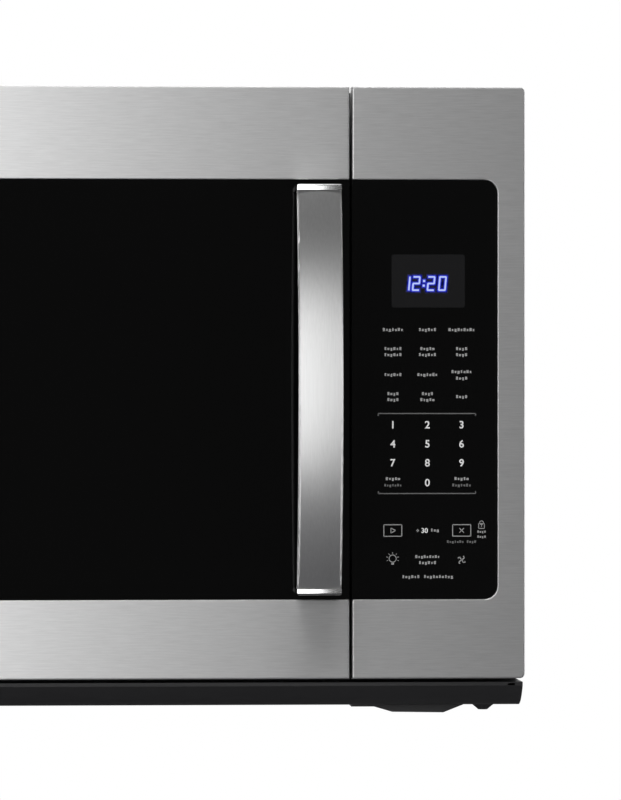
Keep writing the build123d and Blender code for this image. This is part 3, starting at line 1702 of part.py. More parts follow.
def fan_shroud():
    outline = (
        shroud_left, shroud_right, bay_fan_z - shroud_half, bay_fan_z + shroud_half
    )
    shroud = front_plate_solid(outline, shroud_plate_y, shroud_plate_y + shroud_wall, 6)
    shroud += rod(
        (bay_fan_x, shroud_front, bay_fan_z), (bay_fan_x, shroud_plate_y + 1, bay_fan_z),
        bay_fan_radius + shroud_wall,
    )
    for x in (shroud_left + 8, shroud_right - 8):
        for z in (outline[2] + 8, outline[3] - 8):
            shroud += rod((x, shroud_plate_y + 1, z), (x, -sheet, z), 4)
    return shroud - rod(
        (bay_fan_x, shroud_front - 1, bay_fan_z), (bay_fan_x, 0, bay_fan_z), bay_fan_radius
    )


def fan_motor():
    """Open frame motor on a strap that bridges the shroud."""
    strap_y = shroud_plate_y + shroud_wall
    motor = front_plate_solid(
        (shroud_left + 2, shroud_right - 2, bay_fan_z - 7, bay_fan_z + 7), strap_y, strap_y + 2, 3
    )
    motor += front_plate_solid(
        (bay_fan_x - 24, bay_fan_x + 24, bay_fan_z - 20, bay_fan_z + 20), strap_y + 2, -8, 3
    )
    motor += rod((bay_fan_x, strap_y - 2, bay_fan_z), (bay_fan_x, -4, bay_fan_z), 9)
    return motor - rod(
        (bay_fan_x, strap_y - 5, bay_fan_z), (bay_fan_x, -5, bay_fan_z), fan_shaft_radius + running_gap
    )


save(cooling_fan(), "cooling_fan")
save(fan_shroud(), "fan_shroud")
save(fan_motor(), "fan_motor")


def air_duct():
    """Moulded elbow that takes the warm air from the magnetron's fins into the cavity."""
    right = guide_right + yoke_length
    front = elbow_front
    back = guide_front - seat_gap - 1
    low = elbow_z - elbow_half_height
    high = elbow_z + elbow_half_height
    wall = elbow_wall
    duct = block(guide_left, right, front, back, low, high)
    corner = duct.edges().filter_by(Axis.Z).sort_by(Axis.Y)[:2].sort_by(Axis.X)[-1]
    duct = fillet(corner, 26)
    duct -= block(guide_left - 1, right - wall - 6, front + wall, back - wall, low + wall, high - wall)
    duct -= block(guide_right + 3, right - wall, back - 30, back + 1, low + wall, high - wall)
    return duct


save(air_duct(), "air_duct")

# Oven lamp over the slots in the roof, and the cut-outs


def cavity_lamp():
    """A folded cover with a bulb and its holder inside."""
    low = cavity_top + sheet
    cover = block(lamp_x - 26, lamp_x + 26, lamp_y - 20, lamp_y + 20, low, low + 34)
    cover = fillet(cover.edges().filter_by(Axis.X).group_by(Axis.Z)[-1], 6)
    cover -= block(lamp_x - 24.8, lamp_x + 24.8, lamp_y - 18.8, lamp_y + 18.8, low - 1, low + 30)
    cover -= rod((lamp_x + 20, lamp_y, low + 15), (lamp_x + 30, lamp_y, low + 15), 10)
    bulb = rod((lamp_x - 16, lamp_y, low + 15), (lamp_x + 8, lamp_y, low + 15), 11)
    bulb = fillet(bulb.edges(), 8)
    bulb += rod((lamp_x, lamp_y, low + 15), (lamp_x + 32, lamp_y, low + 15), 8.5)
    bulb += rod((lamp_x + 26, lamp_y, low + 15), (lamp_x + 30, lamp_y, low + 15), 12)
    return [cover, bulb]


save(group(cavity_lamp()), "cavity_lamp")


def cutout(x, y):
    """A thermal cut-out: round body on an eared plate, with two blade tags."""
    body = extrude(Circle(8.5), amount=7)
    body += extrude(SlotCenterToCenter(24, 9), amount=1)
    for side in (-4, 4):
        body += Pos(side, 0, 10) * Box(0.8, 6.3, 8)
    return Pos(x, y, cavity_top + sheet) * body


cutouts = [
    cutout(cavity_left + cutout_from_cavity_side, turntable_y - left_cutout_forward),
    cutout(turntable_x + cutout_from_motor, turntable_y - right_cutout_forward),
]
save(group(cutouts), "thermal_cutouts")

# Latch board behind the front plate, and the door switches on it

board_low = hook_low_height - 24
board_high = hook_high_height + 34
board_front = chassis_inner
web_left = latch_x + hook_width / 2 + latch_clearance + 1
web_back = hook_tip + 22
switch_front = hook_tip + switch_from_hook


def latch_board():
    outline = (latch_x - 16, latch_x + 17, board_low, board_high)
    board = front_plate_solid(outline, board_front, board_front + 2, 3)
    board -= latch_slots(board_front - 1, board_front + 3)
    board += block(web_left, web_left + 2.5, board_front, web_back, board_low, board_high)
    for height in hook_heights:
        ledge_top = height - hook_drop - catch_clearance
        board += block(
            latch_x - hook_width, web_left + 1, board_front + 1, hook_tip + 3, ledge_top - 3, ledge_top
        )
    return board


save(latch_board(), "latch_board")


def door_switch(low):
    """A snap switch with its plunger at the hook's tip and two tags behind."""
    right = web_left - seat_gap
    body = block(
        right - switch_width, right, switch_front, switch_front + switch_depth, low, low + switch_length
    )
    middle = right - switch_width / 2
    plunger_z = low + switch_length / 2
    body += rod((middle, switch_front + 1, plunger_z), (middle, hook_tip + seat_gap, plunger_z), 1.8)
    for z in (low + 6, low + 20):
        body += block(
            middle - 0.4, middle + 0.4, switch_front + switch_depth - 1,
            switch_front + switch_depth + 4, z, z + 4,
        )
    return body


switch_lows = (hook_low_height - 8, hook_low_height - 8 + switch_length + 2, hook_high_height - 8)
save(group([door_switch(low) for low in switch_lows]), "door_switches")

# Control side: plastic housing behind the steel and glass, main board and display

housing_outline = (
    panel_left + sheet + seat_gap,
    half - sheet - seat_gap,
    sheet + seat_gap,
    fascia_height - sheet - seat_gap,
)
board_y = chassis_y - board_from_chassis
board_outline = (
    panel_left + board_left_margin, half - board_right_margin, field[2] + board_low_margin,
    field[3] - board_high_margin,
)
display_left = panel_left + display_from_panel
display_top = field[3] - display_from_top
display_window = (
    display_left, display_left + display_width, display_top - display_height, display_top
)


def panel_housing():
    housing = front_plate_solid(housing_outline, glass_back, chassis_y, skin_round)
    housing -= front_plate_solid(
        grown(housing_outline, -housing_wall), glass_back - 1, chassis_y - housing_wall, skin_round
    )
    housing -= front_plate_solid(wiring, chassis_y - 5, chassis_y + 1, 6)
    left, right, bottom, top = board_outline
    for x in (left + 5, right - 5):
        for z in (bottom - 7, top + 15):
            housing += rod((x, chassis_y - 1, z), (x, board_y + 1.9, z), 4)
    for z in (bottom - 30, top + 34):
        housing += block(
            housing_outline[0] + 1, housing_outline[1] - 1, chassis_y - 24, chassis_y - 1, z, z + 2
        )
    return housing


save(panel_housing(), "panel_housing")


def control_board():
    """Main printed board with its relays, transformer and connectors on the chassis side."""
    left, right, bottom, top = board_outline
    ears = (left, right, bottom - 12, top + 20)
    back = board_y + board_thickness
    board = front_plate_solid(ears, board_y, back, 2)
    parts_on_board = [
        (left + 20, bottom + 20, 19, 15, 15), (left + 20, bottom + 42, 19, 15, 15),
        (left + 20, bottom + 64, 19, 15, 15), (left + 62, bottom + 34, 34, 40, 14),
        (left + 60, bottom + 96, 30, 10, 9), (left + 28, bottom + 140, 40, 12, 8),
        (left + 66, bottom + 170, 24, 24, 3),
    ]
    for x, z, width, height, depth in parts_on_board:
        board += block(
            x - width / 2, x + width / 2, back - 0.5, back + depth, z - height / 2, z + height / 2
        )
    board += rod((left + 70, back - 0.5, bottom + 210), (left + 70, back + 14, bottom + 210), 8)
    return board


save(control_board(), "control_board")


def display_module():
    """Display block behind the clock window, on four legs down to the board."""
    left, right, bottom, top = display_window
    module = front_plate_solid(
        grown(display_window, display_frame), glass_back, glass_back + display_depth, 2
    )
    module -= front_plate_solid(display_window, glass_back - 1, glass_back + 2, 2)
    for x in (left + 2, right - 2):
        for z in (bottom + 2, top - 2):
            module += rod((x, glass_back + display_depth - 1, z), (x, board_y, z), 1.5)
    return module


save(display_module(), "display_module")
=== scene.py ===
from math import atan2, cos, pi, radians, sin, sqrt

import bmesh
import bpy
from mathutils import Matrix, Vector


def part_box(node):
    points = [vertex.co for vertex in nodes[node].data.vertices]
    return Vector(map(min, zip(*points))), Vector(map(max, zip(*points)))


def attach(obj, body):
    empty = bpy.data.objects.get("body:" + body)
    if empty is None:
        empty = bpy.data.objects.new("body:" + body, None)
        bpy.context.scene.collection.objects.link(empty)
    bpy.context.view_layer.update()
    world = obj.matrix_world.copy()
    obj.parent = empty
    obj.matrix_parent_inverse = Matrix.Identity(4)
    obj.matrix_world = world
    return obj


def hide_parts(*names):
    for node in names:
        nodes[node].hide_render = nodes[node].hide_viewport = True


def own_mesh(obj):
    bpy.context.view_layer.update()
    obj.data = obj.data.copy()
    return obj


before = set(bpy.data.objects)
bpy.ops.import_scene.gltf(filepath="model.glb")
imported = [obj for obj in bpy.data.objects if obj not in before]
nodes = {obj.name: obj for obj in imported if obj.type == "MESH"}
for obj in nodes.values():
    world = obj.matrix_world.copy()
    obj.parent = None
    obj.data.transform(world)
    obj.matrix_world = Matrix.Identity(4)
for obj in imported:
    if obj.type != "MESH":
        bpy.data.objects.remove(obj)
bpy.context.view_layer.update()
MM = 0.001

# Front plate and cavity. The front plate is sheet steel in satin grey enamel; the cavity behind
# its mouth is a welded box with a smoother, lighter enamel that is easy to wipe.


def linear(code):
    """An sRGB hex colour as linear red, green, blue and alpha."""
    channels = [int(code[i:i + 2], 16) / 255 for i in (1, 3, 5)]
    return [c / 12.92 if c <= 0.04045 else ((c + 0.055) / 1.055) ** 2.4 for c in channels] + [1.0]


def add(material, kind, settings=None, links=None):
    """Adds a node with its settings and with what feeds its sockets.

    A mix node's sockets go by number: 0 is its factor, 6 and 7 its colours, output 2 its result.
    """
    node = material.node_tree.nodes.new(kind)
    for key, value in (settings or {}).items():
        if isinstance(key, int) or key in node.inputs:
            node.inputs[key].default_value = value
        else:
            setattr(node, key, value)
    for key, source in (links or {}).items():
        material.node_tree.links.new(source, node.inputs[key])
    return node


def empty_material(name):
    """A material whose nodes are still to be added."""
    material = bpy.data.materials.new(name)
    material.use_nodes = True
    material.node_tree.nodes.clear()
    return material


def finish(name, light, dark, patch_mm, grain_mm, relief_mm, **settings):
    """A surface whose colour drifts between two tones in patches, with a fine raised grain."""
    material = empty_material(name)
    place = add(material, "ShaderNodeTexCoord")
    patches = add(material, "ShaderNodeTexNoise", {"Scale": 1 / (patch_mm * MM), "Detail": 3.0},
                  {"Vector": place.outputs["Object"]})
    tone = add(material, "ShaderNodeMix", {"data_type": "RGBA", 6: linear(dark), 7: linear(light)},
               {0: patches.outputs["Fac"]})
    grain = add(material, "ShaderNodeTexNoise", {"Scale": 1 / (grain_mm * MM), "Detail": 2.0},
                {"Vector": place.outputs["Object"]})
    relief = add(material, "ShaderNodeBump", {"Strength": 1.0, "Distance": relief_mm * MM},
                 {"Height": grain.outputs["Fac"]})
    surface = add(material, "ShaderNodeBsdfPrincipled", settings,
                  {"Base Color": tone.outputs[2], "Normal": relief.outputs["Normal"]})
    add(material, "ShaderNodeOutputMaterial", {}, {"Surface": surface.outputs["BSDF"]})
    return material


def dress(material, *names):
    """Gives CAD nodes their finish."""
    for name in names:
        mesh = nodes[name].data
        mesh.materials.clear()
        mesh.materials.append(material)


# Enamel over steel, sprayed and fired: a satin skin with a slight orange peel
front_enamel = finish("enamel_sprayed_grey", "#8d8f90", "#858788", 60, 2.2, 0.004,
                      **{"Roughness": 0.38, "Coat Weight": 0.2, "Coat Roughness": 0.25})
cavity_enamel = finish("enamel_fired_light_grey", "#b3b1ab", "#aaa8a2", 45, 1.6, 0.003,
                       **{"Roughness": 0.24, "Coat Weight": 0.4, "Coat Roughness": 0.12})
dress(front_enamel, "front_plate")
dress(cavity_enamel, "cavity_liner")

# Waveguide cover: a card of pressed mica held over the feed slot in the cavity's right wall. The
# flakes give it a silvery, mottled tan.

mica = finish("mica_pressed_sheet", "#b9ad98", "#8f836d", 5, 1.4, 0.02,
              **{"Roughness": 0.42, "Metallic": 0.25})
dress(mica, "waveguide_cover")

# Back panel, blower housing, exhaust adaptor, hinges and the other bare brackets: hot-dip
# galvanised sheet. Its zinc freezes in spangles a few millimetres across, each a little glossier
# or duller than the next.

galvanised = finish("galvanised_rolled_sheet", "#b4b8bb", "#a3a7aa", 40, 1.1, 0.004,
                    **{"Metallic": 1.0})
tree = galvanised.node_tree
surface = tree.nodes["Principled BSDF"]
place = tree.nodes["Texture Coordinate"]
spangle_mm = 7.0
glossiest_spangle = 0.35
dullest_spangle = 0.5
spangles = add(galvanised, "ShaderNodeTexVoronoi", {"Scale": 1 / (spangle_mm * MM)},
               {"Vector": place.outputs["Object"]})
spangle_gloss = add(galvanised, "ShaderNodeMapRange",
                    {"To Min": glossiest_spangle, "To Max": dullest_spangle},
                    {"Value": spangles.outputs["Color"]})
tree.links.new(spangle_gloss.outputs["Result"], surface.inputs["Roughness"])
dress(galvanised, "rear_panel", "blower_housing", "exhaust_adaptor", "damper_flap", "waveguide",
      "hinge_lower", "hinge_upper", "fan_shroud", "fan_motor", "blower_motor", "turntable_motor",
      "cavity_lamp")

# Cabinet, base pan and the hood under the component bay: steel with a black powder coat, baked to
# a satin skin that is slightly pebbled.

powder_coat = finish("powder_coat_baked_black", "#222224", "#1c1c1e", 70, 1.3, 0.012,
                     **{"Roughness": 0.5, "Specular IOR Level": 0.45})
dress(powder_coat, "outer_wrap", "base_pan", "bay_intake_hood")

# Cooktop lamps: a ceramic holder and a small bulb behind each moulded, frosted lens.

lens_glass = finish("glass_moulded_frosted", "#e4e6e2", "#dadcd8", 30, 0.9, 0.03,
                    **{"Roughness": 0.45, "Transmission Weight": 0.55, "IOR": 1.52})
ceramic = finish("ceramic_pressed_white", "#e3e0d8", "#d8d5cc", 12, 0.7, 0.01,
                 **{"Roughness": 0.55})
dress(lens_glass, "lamp_lenses")
dress(ceramic, "cooktop_lamps", "thermal_cutouts")

# Grease filters: layers of expanded aluminium mesh in a folded aluminium frame. The mesh is drawn
# as its diamond openings, 6 by 3 mm, with painted shade between the strands for the layer below.

aluminium_mesh = empty_material("aluminium_expanded_mesh")
diamond_long_mm = 6.0
diamond_short_mm = 3.0
strand_half = 0.08  # shares of an opening, from a strand's middle
strand_foot = 0.2
strand_relief_mm = 0.4
place = add(aluminium_mesh, "ShaderNodeTexCoord")
turned = add(aluminium_mesh, "ShaderNodeMapping",
             {"Scale": (1 / (diamond_long_mm * MM), 1 / (diamond_short_mm * MM), 0.0)},
             {"Vector": place.outputs["Object"]})
axes = add(aluminium_mesh, "ShaderNodeSeparateXYZ", {}, {"Vector": turned.outputs["Vector"]})
rising = add(aluminium_mesh, "ShaderNodeMath", {"operation": "ADD"},
             {0: axes.outputs["X"], 1: axes.outputs["Y"]})
falling = add(aluminium_mesh, "ShaderNodeMath", {"operation": "SUBTRACT"},
              {0: axes.outputs["X"], 1: axes.outputs["Y"]})
strands = []
for line in (rising, falling):
    wave = add(aluminium_mesh, "ShaderNodeMath", {"operation": "PINGPONG", 1: 0.5},
               {0: line.outputs["Value"]})
    strands.append(add(aluminium_mesh, "ShaderNodeMapRange",
                       {"From Min": strand_half, "From Max": strand_foot,
                        "To Min": 1.0, "To Max": 0.0},
                       {"Value": wave.outputs["Value"]}))
strand = add(aluminium_mesh, "ShaderNodeMath", {"operation": "MAXIMUM"},
             {0: strands[0].outputs["Result"], 1: strands[1].outputs["Result"]})
# The dark grey between the strands is painted shade of the layer below; the strands are pale
# aluminium
tone = add(aluminium_mesh, "ShaderNodeMix",
           {"data_type": "RGBA", 6: linear("#4c4e50"), 7: linear("#c9cbcd")},
           {0: strand.outputs["Value"]})
weave = add(aluminium_mesh, "ShaderNodeBump",
            {"Strength": 1.0, "Distance": strand_relief_mm * MM},
            {"Height": strand.outputs["Value"]})
surface = add(aluminium_mesh, "ShaderNodeBsdfPrincipled", {"Metallic": 1.0, "Roughness": 0.38},
              {"Base Color": tone.outputs[2], "Normal": weave.outputs["Normal"]})
add(aluminium_mesh, "ShaderNodeOutputMaterial", {}, {"Surface": surface.outputs["BSDF"]})
dress(aluminium_mesh, "grease_filter_left", "grease_filter_right")

# Vent grille, charcoal filter, fans, cord ring and the housing behind the controls: black
# plastic, injection moulded with a fine spark-eroded texture.

black_plastic = finish("abs_moulded_black", "#19191a", "#141415", 50, 0.45, 0.006,
                       **{"Roughness": 0.55, "Specular IOR Level": 0.4})
dress(black_plastic, "vent_grille", "charcoal_filter", "cord_bushing", "blower_wheels",
      "cooling_fan", "panel_housing", "choke_cover")

# Turntable: a natural acetal ring, wheels and coupler, cream white and slightly waxy, under a
# pressed glass tray.

acetal = finish("acetal_moulded_natural", "#e2ded2", "#d9d4c6", 15, 0.5, 0.004,
                **{"Roughness": 0.42, "Subsurface Weight": 0.08, "Subsurface Scale": 0.002})
dress(acetal, "roller_ring", "roller_wheel_1", "roller_wheel_2", "roller_wheel_3",
      "turntable_coupler", "latch_bar", "latch_board", "hinge_bushes")
tray_glass = finish("glass_pressed_clear", "#e9f1ee", "#e2ece8", 80, 9.0, 0.05,
                    **{"Roughness": 0.04, "Transmission Weight": 0.92, "IOR": 1.47})
dress(tray_glass, "glass_tray", "inner_window")

# Power parts in the component bay: the magnetron's zinc plated yoke and aluminium fins, the
# varnished transformer, the capacitor's drawn aluminium can and the boards.

zinc_plate = finish("zinc_plated_pressed_steel", "#bdbfba", "#aeb0a8", 18, 0.8, 0.003,
                    **{"Metallic": 1.0, "Roughness": 0.34})
dress(zinc_plate, "magnetron", "capacitor", "cabinet_screws", "handle_screws")
laminations = finish("steel_laminated_varnished", "#3b3a38", "#2a2927", 20, 0.5, 0.05,
                     **{"Roughness": 0.45, "Metallic": 0.6})
dress(laminations, "transformer_core")
winding = finish("copper_wire_varnished", "#a4552c", "#7a3a1c", 10, 1.2, 0.15,
                 **{"Roughness": 0.35, "Metallic": 0.8})
dress(winding, "transformer_windings")
solder_mask = finish("epoxy_board_solder_mask", "#1d5a34", "#174a2a", 14, 0.8, 0.01,
                     **{"Roughness": 0.35})
dress(solder_mask, "filter_board", "control_board")
grey_plastic = finish("pbt_moulded_grey", "#6a6b6d", "#616264", 25, 0.4, 0.005,
                      **{"Roughness": 0.5})
dress(grey_plastic, "door_switches", "air_duct", "display_module")

# Door frame: pressed steel in the cabinet's black powder coat, with a perforated screen across
# the window. The screen's 1.2 mm holes stand 2 mm apart in staggered rows.

dress(powder_coat, "door_frame")
screen_steel = empty_material("steel_perforated_black")
hole_pitch_mm = 2.0
hole_radius = 0.6 / hole_pitch_mm  # as a share of the pitch
hole_depth_mm = 0.2
place = add(screen_steel, "ShaderNodeTexCoord")
pitch = add(screen_steel, "ShaderNodeMapping",
            {"Scale": (1 / (hole_pitch_mm * MM), 0.0, 1 / (hole_pitch_mm * MM)),
             "Rotation": (0.0, radians(45), 0.0)},
            {"Vector": place.outputs["Object"]})
holes = add(screen_steel, "ShaderNodeTexVoronoi", {"Scale": 1.0, "Randomness": 0.0},
            {"Vector": pitch.outputs["Vector"]})
hole = add(screen_steel, "ShaderNodeMapRange",
           {"From Min": hole_radius - 0.02, "From Max": hole_radius + 0.04},
           {"Value": holes.outputs["Distance"]})
# The holes are painted near black: painted shade seen through them, not openings in the sheet
tone = add(screen_steel, "ShaderNodeMix",
           {"data_type": "RGBA", 6: linear("#060607"), 7: linear("#3a3b3d")},
           {0: hole.outputs["Result"]})
edge = add(screen_steel, "ShaderNodeBump", {"Strength": 1.0, "Distance": hole_depth_mm * MM},
           {"Height": hole.outputs["Result"]})
surface = add(screen_steel, "ShaderNodeBsdfPrincipled", {"Roughness": 0.45},
              {"Base Color": tone.outputs[2], "Normal": edge.outputs["Normal"]})
add(screen_steel, "ShaderNodeOutputMaterial", {}, {"Surface": surface.outputs["BSDF"]})
dress(screen_steel, "window_screen")

# Latch spring: a compression spring of hard-drawn wire between the latch bar and the stop above
# it. Its end coils are closed up. On the oven it shortens as the latch lifts; here it is made at
# one length.


def new_piece(shape, name, material):
    """Makes a bmesh a piece of its own, in one material."""
    mesh = bpy.data.meshes.new(name)
    shape.to_mesh(mesh)
    shape.free()
    mesh.materials.append(material)
    piece = bpy.data.objects.new(name, mesh)
    bpy.context.scene.collection.objects.link(piece)
    return piece


spring_wire = finish("steel_hard_drawn_wire", "#a9abad", "#96989a", 6, 0.3, 0.002,
                     **{"Metallic": 1.0, "Roughness": 0.3})
dress(spring_wire, "latch_spring")
wire_radius = 0.45 * MM
wire_sides = 10
closed_pitch = 2.1 * wire_radius  # the end turns all but touch
end_turns = 1
open_turns = 6
steps_a_turn = 24
spring_low, spring_high = (Vector(corner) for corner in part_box("latch_spring"))
spring_axis = (spring_low + spring_high) / 2
coil_radius = (spring_high.x - spring_low.x) / 2 - wire_radius
spring_length = spring_high.z - spring_low.z
open_pitch = (spring_length - 2 * wire_radius - 2 * end_turns * closed_pitch) / open_turns
coil = bmesh.new()
section = bmesh.ops.create_circle(coil, segments=wire_sides, radius=wire_radius)["verts"]
bmesh.ops.rotate(coil, verts=section, matrix=Matrix.Rotation(pi / 2, 3, "X"))
bmesh.ops.translate(coil, verts=section, vec=(spring_axis.x + coil_radius, spring_axis.y,
                                              spring_low.z + wire_radius))
wire_end = section + coil.edges[:]
for turns, rise in ((end_turns, closed_pitch), (open_turns, open_pitch),
                    (end_turns, closed_pitch)):
    turned = bmesh.ops.spin(coil, geom=wire_end, cent=spring_axis, axis=(0.0, 0.0, 1.0),
                            dvec=(0.0, 0.0, rise / steps_a_turn), angle=2 * pi * turns,
                            steps=steps_a_turn * turns, use_merge=False, use_duplicate=False)
    wire_end = turned["geom_last"]
bmesh.ops.holes_fill(coil, edges=coil.edges, sides=0)
bmesh.ops.recalc_face_normals(coil, faces=coil.faces)
for face in coil.faces:
    face.smooth = len(face.verts) == 4
spring = new_piece(coil, "latch_spring_coil", spring_wire)
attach(spring, "door")
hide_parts("latch_spring")
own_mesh(spring)

# Door and panel skins: stainless sheet brushed across the oven with a fine belt. The grain
# spreads reflections up and down and leaves faint level streaks a few centimetres long.


def brushed(name, light, dark, grain, tangent, roughness, anisotropy):
    """Stainless steel brushed one way; grain scales the pattern, tangent lies across it."""
    dulling = 0.05  # how far the roughness swings from streak to streak
    scratch_mm = 0.004
    material = empty_material(name)
    place = add(material, "ShaderNodeTexCoord")
    stretched = add(material, "ShaderNodeMapping", {"Scale": grain},
                    {"Vector": place.outputs["Object"]})
    streaks = add(material, "ShaderNodeTexNoise", {"Scale": 1.0, "Detail": 5.0, "Roughness": 0.65},
                  {"Vector": stretched.outputs["Vector"]})
    tone = add(material, "ShaderNodeMix", {"data_type": "RGBA", 6: linear(dark), 7: linear(light)},
               {0: streaks.outputs["Fac"]})
    dull = add(material, "ShaderNodeMapRange",
               {"To Min": roughness - dulling, "To Max": roughness + dulling},
               {"Value": streaks.outputs["Fac"]})
    scratches = add(material, "ShaderNodeBump", {"Strength": 1.0, "Distance": scratch_mm * MM},
                    {"Height": streaks.outputs["Fac"]})
    across = add(material, "ShaderNodeVectorTransform",
                 {"vector_type": "VECTOR", "convert_from": "OBJECT", "convert_to": "WORLD",
                  "Vector": tangent})
    surface = add(material, "ShaderNodeBsdfPrincipled",
                  {"Metallic": 1.0, "Anisotropic": anisotropy},
                  {"Base Color": tone.outputs[2], "Roughness": dull.outputs["Result"],
                   "Normal": scratches.outputs["Normal"], "Tangent": across.outputs["Vector"]})
    add(material, "ShaderNodeOutputMaterial", {}, {"Surface": surface.outputs["BSDF"]})
    return material


streak_long_mm = 18.0
streak_high_mm = 1.0  # true grain is about 0.1 mm; this is as fine as a pixel shows
across_grain = (1 / (streak_long_mm * MM), 1 / (streak_high_mm * MM), 1 / (streak_high_mm * MM))
brushed_level = brushed("stainless_belt_brushed_level", "#e4e4e4", "#c0c0c0", across_grain,
                        (0.0, 0.0, 1.0), 0.5, 0.8)
dress(brushed_level, "door_skin", "panel_trim")

# Door glass and touch panel: tempered glass, printed solid black on the back, so it shows a deep,
# even black under a hard gloss.

black_glass = empty_material("glass_back_printed_black")
place = add(black_glass, "ShaderNodeTexCoord")
roller_wave_mm = 120.0  # tempering leaves a barely visible wave
ripple_mm = 0.02
wave = add(black_glass, "ShaderNodeTexNoise", {"Scale": 1 / (roller_wave_mm * MM), "Detail": 1.0},
           {"Vector": place.outputs["Object"]})
tone = add(black_glass, "ShaderNodeMix",
           {"data_type": "RGBA", 6: linear("#030303"), 7: linear("#050505")},
           {0: wave.outputs["Fac"]})
ripple = add(black_glass, "ShaderNodeBump", {"Strength": 1.0, "Distance": ripple_mm * MM},
             {"Height": wave.outputs["Fac"]})
surface = add(black_glass, "ShaderNodeBsdfPrincipled",
              {"Roughness": 0.06, "IOR": 1.5, "Specular IOR Level": 0.36},
              {"Base Color": tone.outputs[2], "Normal": ripple.outputs["Normal"]})
add(black_glass, "ShaderNodeOutputMaterial", {}, {"Surface": surface.outputs["BSDF"]})
dress(black_glass, "door_glass", "panel_glass")

# Clock: a smoked window in the touch panel's glass, with blue-white segments lit behind it. A deep
# blue glow, painted as two wider emitting layers under the segments, spreads a millimetre or two
# round each.

glass_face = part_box("panel_glass")[0][1]
ink_mm = 0.12  # true print is thinner; half of it is sunk in the glass
layer_mm = ink_mm / 4  # each layer of the clock stands this far over the last


def stroke(shape, start, end, width, layer=0):
    """A flat bar of ink between two points in millimetres, on a layer over the glass."""
    run = Vector(end) - Vector(start)
    bar = bmesh.ops.create_cube(shape, size=1.0)["verts"]
    bmesh.ops.scale(shape, verts=bar, vec=(run.length * MM, ink_mm * MM, width * MM))
    turn = Matrix.Rotation(-atan2(run.y, run.x), 3, "Y")
    bmesh.ops.rotate(shape, verts=bar, matrix=turn)
    centre = (Vector(start) + Vector(end)) / 2
    bmesh.ops.translate(shape, verts=bar,
                        vec=(centre.x * MM, glass_face - layer * layer_mm * MM, centre.y * MM))


def print_on_panel(shape, name, material):
    """Makes the ink a piece of the chassis."""
    piece = new_piece(shape, name, material)
    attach(piece, "chassis")


def lit(name, code):
    """A lit face, even in colour, that varies a little as the diffuser behind it does."""
    cloud_mm = 2.5
    dimmest = 0.9
    material = empty_material(name)
    place = add(material, "ShaderNodeTexCoord")
    cloud = add(material, "ShaderNodeTexNoise", {"Scale": 1 / (cloud_mm * MM), "Detail": 1.0},
                {"Vector": place.outputs["Object"]})
    level = add(material, "ShaderNodeMapRange", {"To Min": dimmest, "To Max": 1.0},
                {"Value": cloud.outputs["Fac"]})
    surface = add(material, "ShaderNodeBsdfPrincipled",
                  {"Base Color": linear("#050507"), "Roughness": 0.3,
                   "Emission Color": linear(code)},
                  {"Emission Strength": level.outputs["Result"]})
    add(material, "ShaderNodeOutputMaterial", {}, {"Surface": surface.outputs["BSDF"]})
    return material


window_left = 286.4
window_right = 337.8
window_low = 259.7
window_high = 296.8
window_middle = (window_low + window_high) / 2
window_corner = 1.6
window_shape = bmesh.new()
stroke(window_shape, (window_left, window_middle), (window_right, window_middle),
       window_high - window_low)
corners = [edge for edge in window_shape.edges
           if abs(edge.verts[0].co.y - edge.verts[1].co.y) > ink_mm * MM / 2]
bmesh.ops.bevel(window_shape, geom=corners, offset=window_corner * MM, segments=5,
                affect="EDGES", profile=0.5, material=-1)
smoked = finish("acrylic_smoked_cast", "#161617", "#141415", 60, 5.0, 0.001,
                **{"Roughness": 0.14})
print_on_panel(window_shape, "clock_window", smoked)

digit_high = 10.45
digit_wide = 5.45
segment_wide = 1.15
digit_slant = radians(5)
clock_low = 271.25
segments = {
    "a": ((0.0, 1.0), (1.0, 1.0)), "b": ((1.0, 0.5), (1.0, 1.0)), "c": ((1.0, 0.0), (1.0, 0.5)),
    "d": ((0.0, 0.0), (1.0, 0.0)), "e": ((0.0, 0.0), (0.0, 0.5)), "f": ((0.0, 0.5), (0.0, 1.0)),
    "g": ((0.0, 0.5), (1.0, 0.5)),
}
clock_digits = [(293.55, "bc"), (300.5, "abged"), (310.9, "abged"), (318.9, "abcdef")]
segment_overrun = 0.15  # each segment runs this far past its ends, into the next
colon_x = 308.6
colon_rows = (278.25, 275.0)
dot_half = 0.75


def clock_face(spread, layer):
    """The lit segments and the colon, each grown all round by the spread of the light."""
    shape = bmesh.new()
    half_wide = segment_wide / 2
    for left, lit_segments in clock_digits:
        for letter in lit_segments:
            ends = []
            for across, up in segments[letter]:
                z = half_wide + up * (digit_high - segment_wide)
                x = left + half_wide + across * (digit_wide - segment_wide) + z * sin(digit_slant)
                ends.append(Vector((x, clock_low + z)))
            along = (ends[1] - ends[0]).normalized() * (spread + segment_overrun)
            stroke(shape, ends[0] - along, ends[1] + along, segment_wide + 2 * spread, layer)
    reach = dot_half + spread
    for z in colon_rows:
        x = colon_x + (z - clock_low) * sin(digit_slant)
        stroke(shape, (x - reach, z), (x + reach, z), 2 * reach, layer)
    return shape


# The glow is painted light: wider faces of emitting ink under the segments
glow_outer_spread = 1.5
glow_inner_spread = 0.7
print_on_panel(clock_face(glow_outer_spread, 1), "clock_glow_outer",
               lit("glow_blue_faint", "#080a44"))
print_on_panel(clock_face(glow_inner_spread, 2), "clock_glow_inner",
               lit("glow_blue_deep", "#1c2ac0"))
print_on_panel(clock_face(0.0, 3), "clock_digits", lit("segment_blue_white_lit", "#b9c8ff"))

# Key legends: pale grey ceramic ink, screen printed on the glass. Each word's place holds a row
# of blank blocks of its length; the numbers, the rules and the plain symbols are in full.

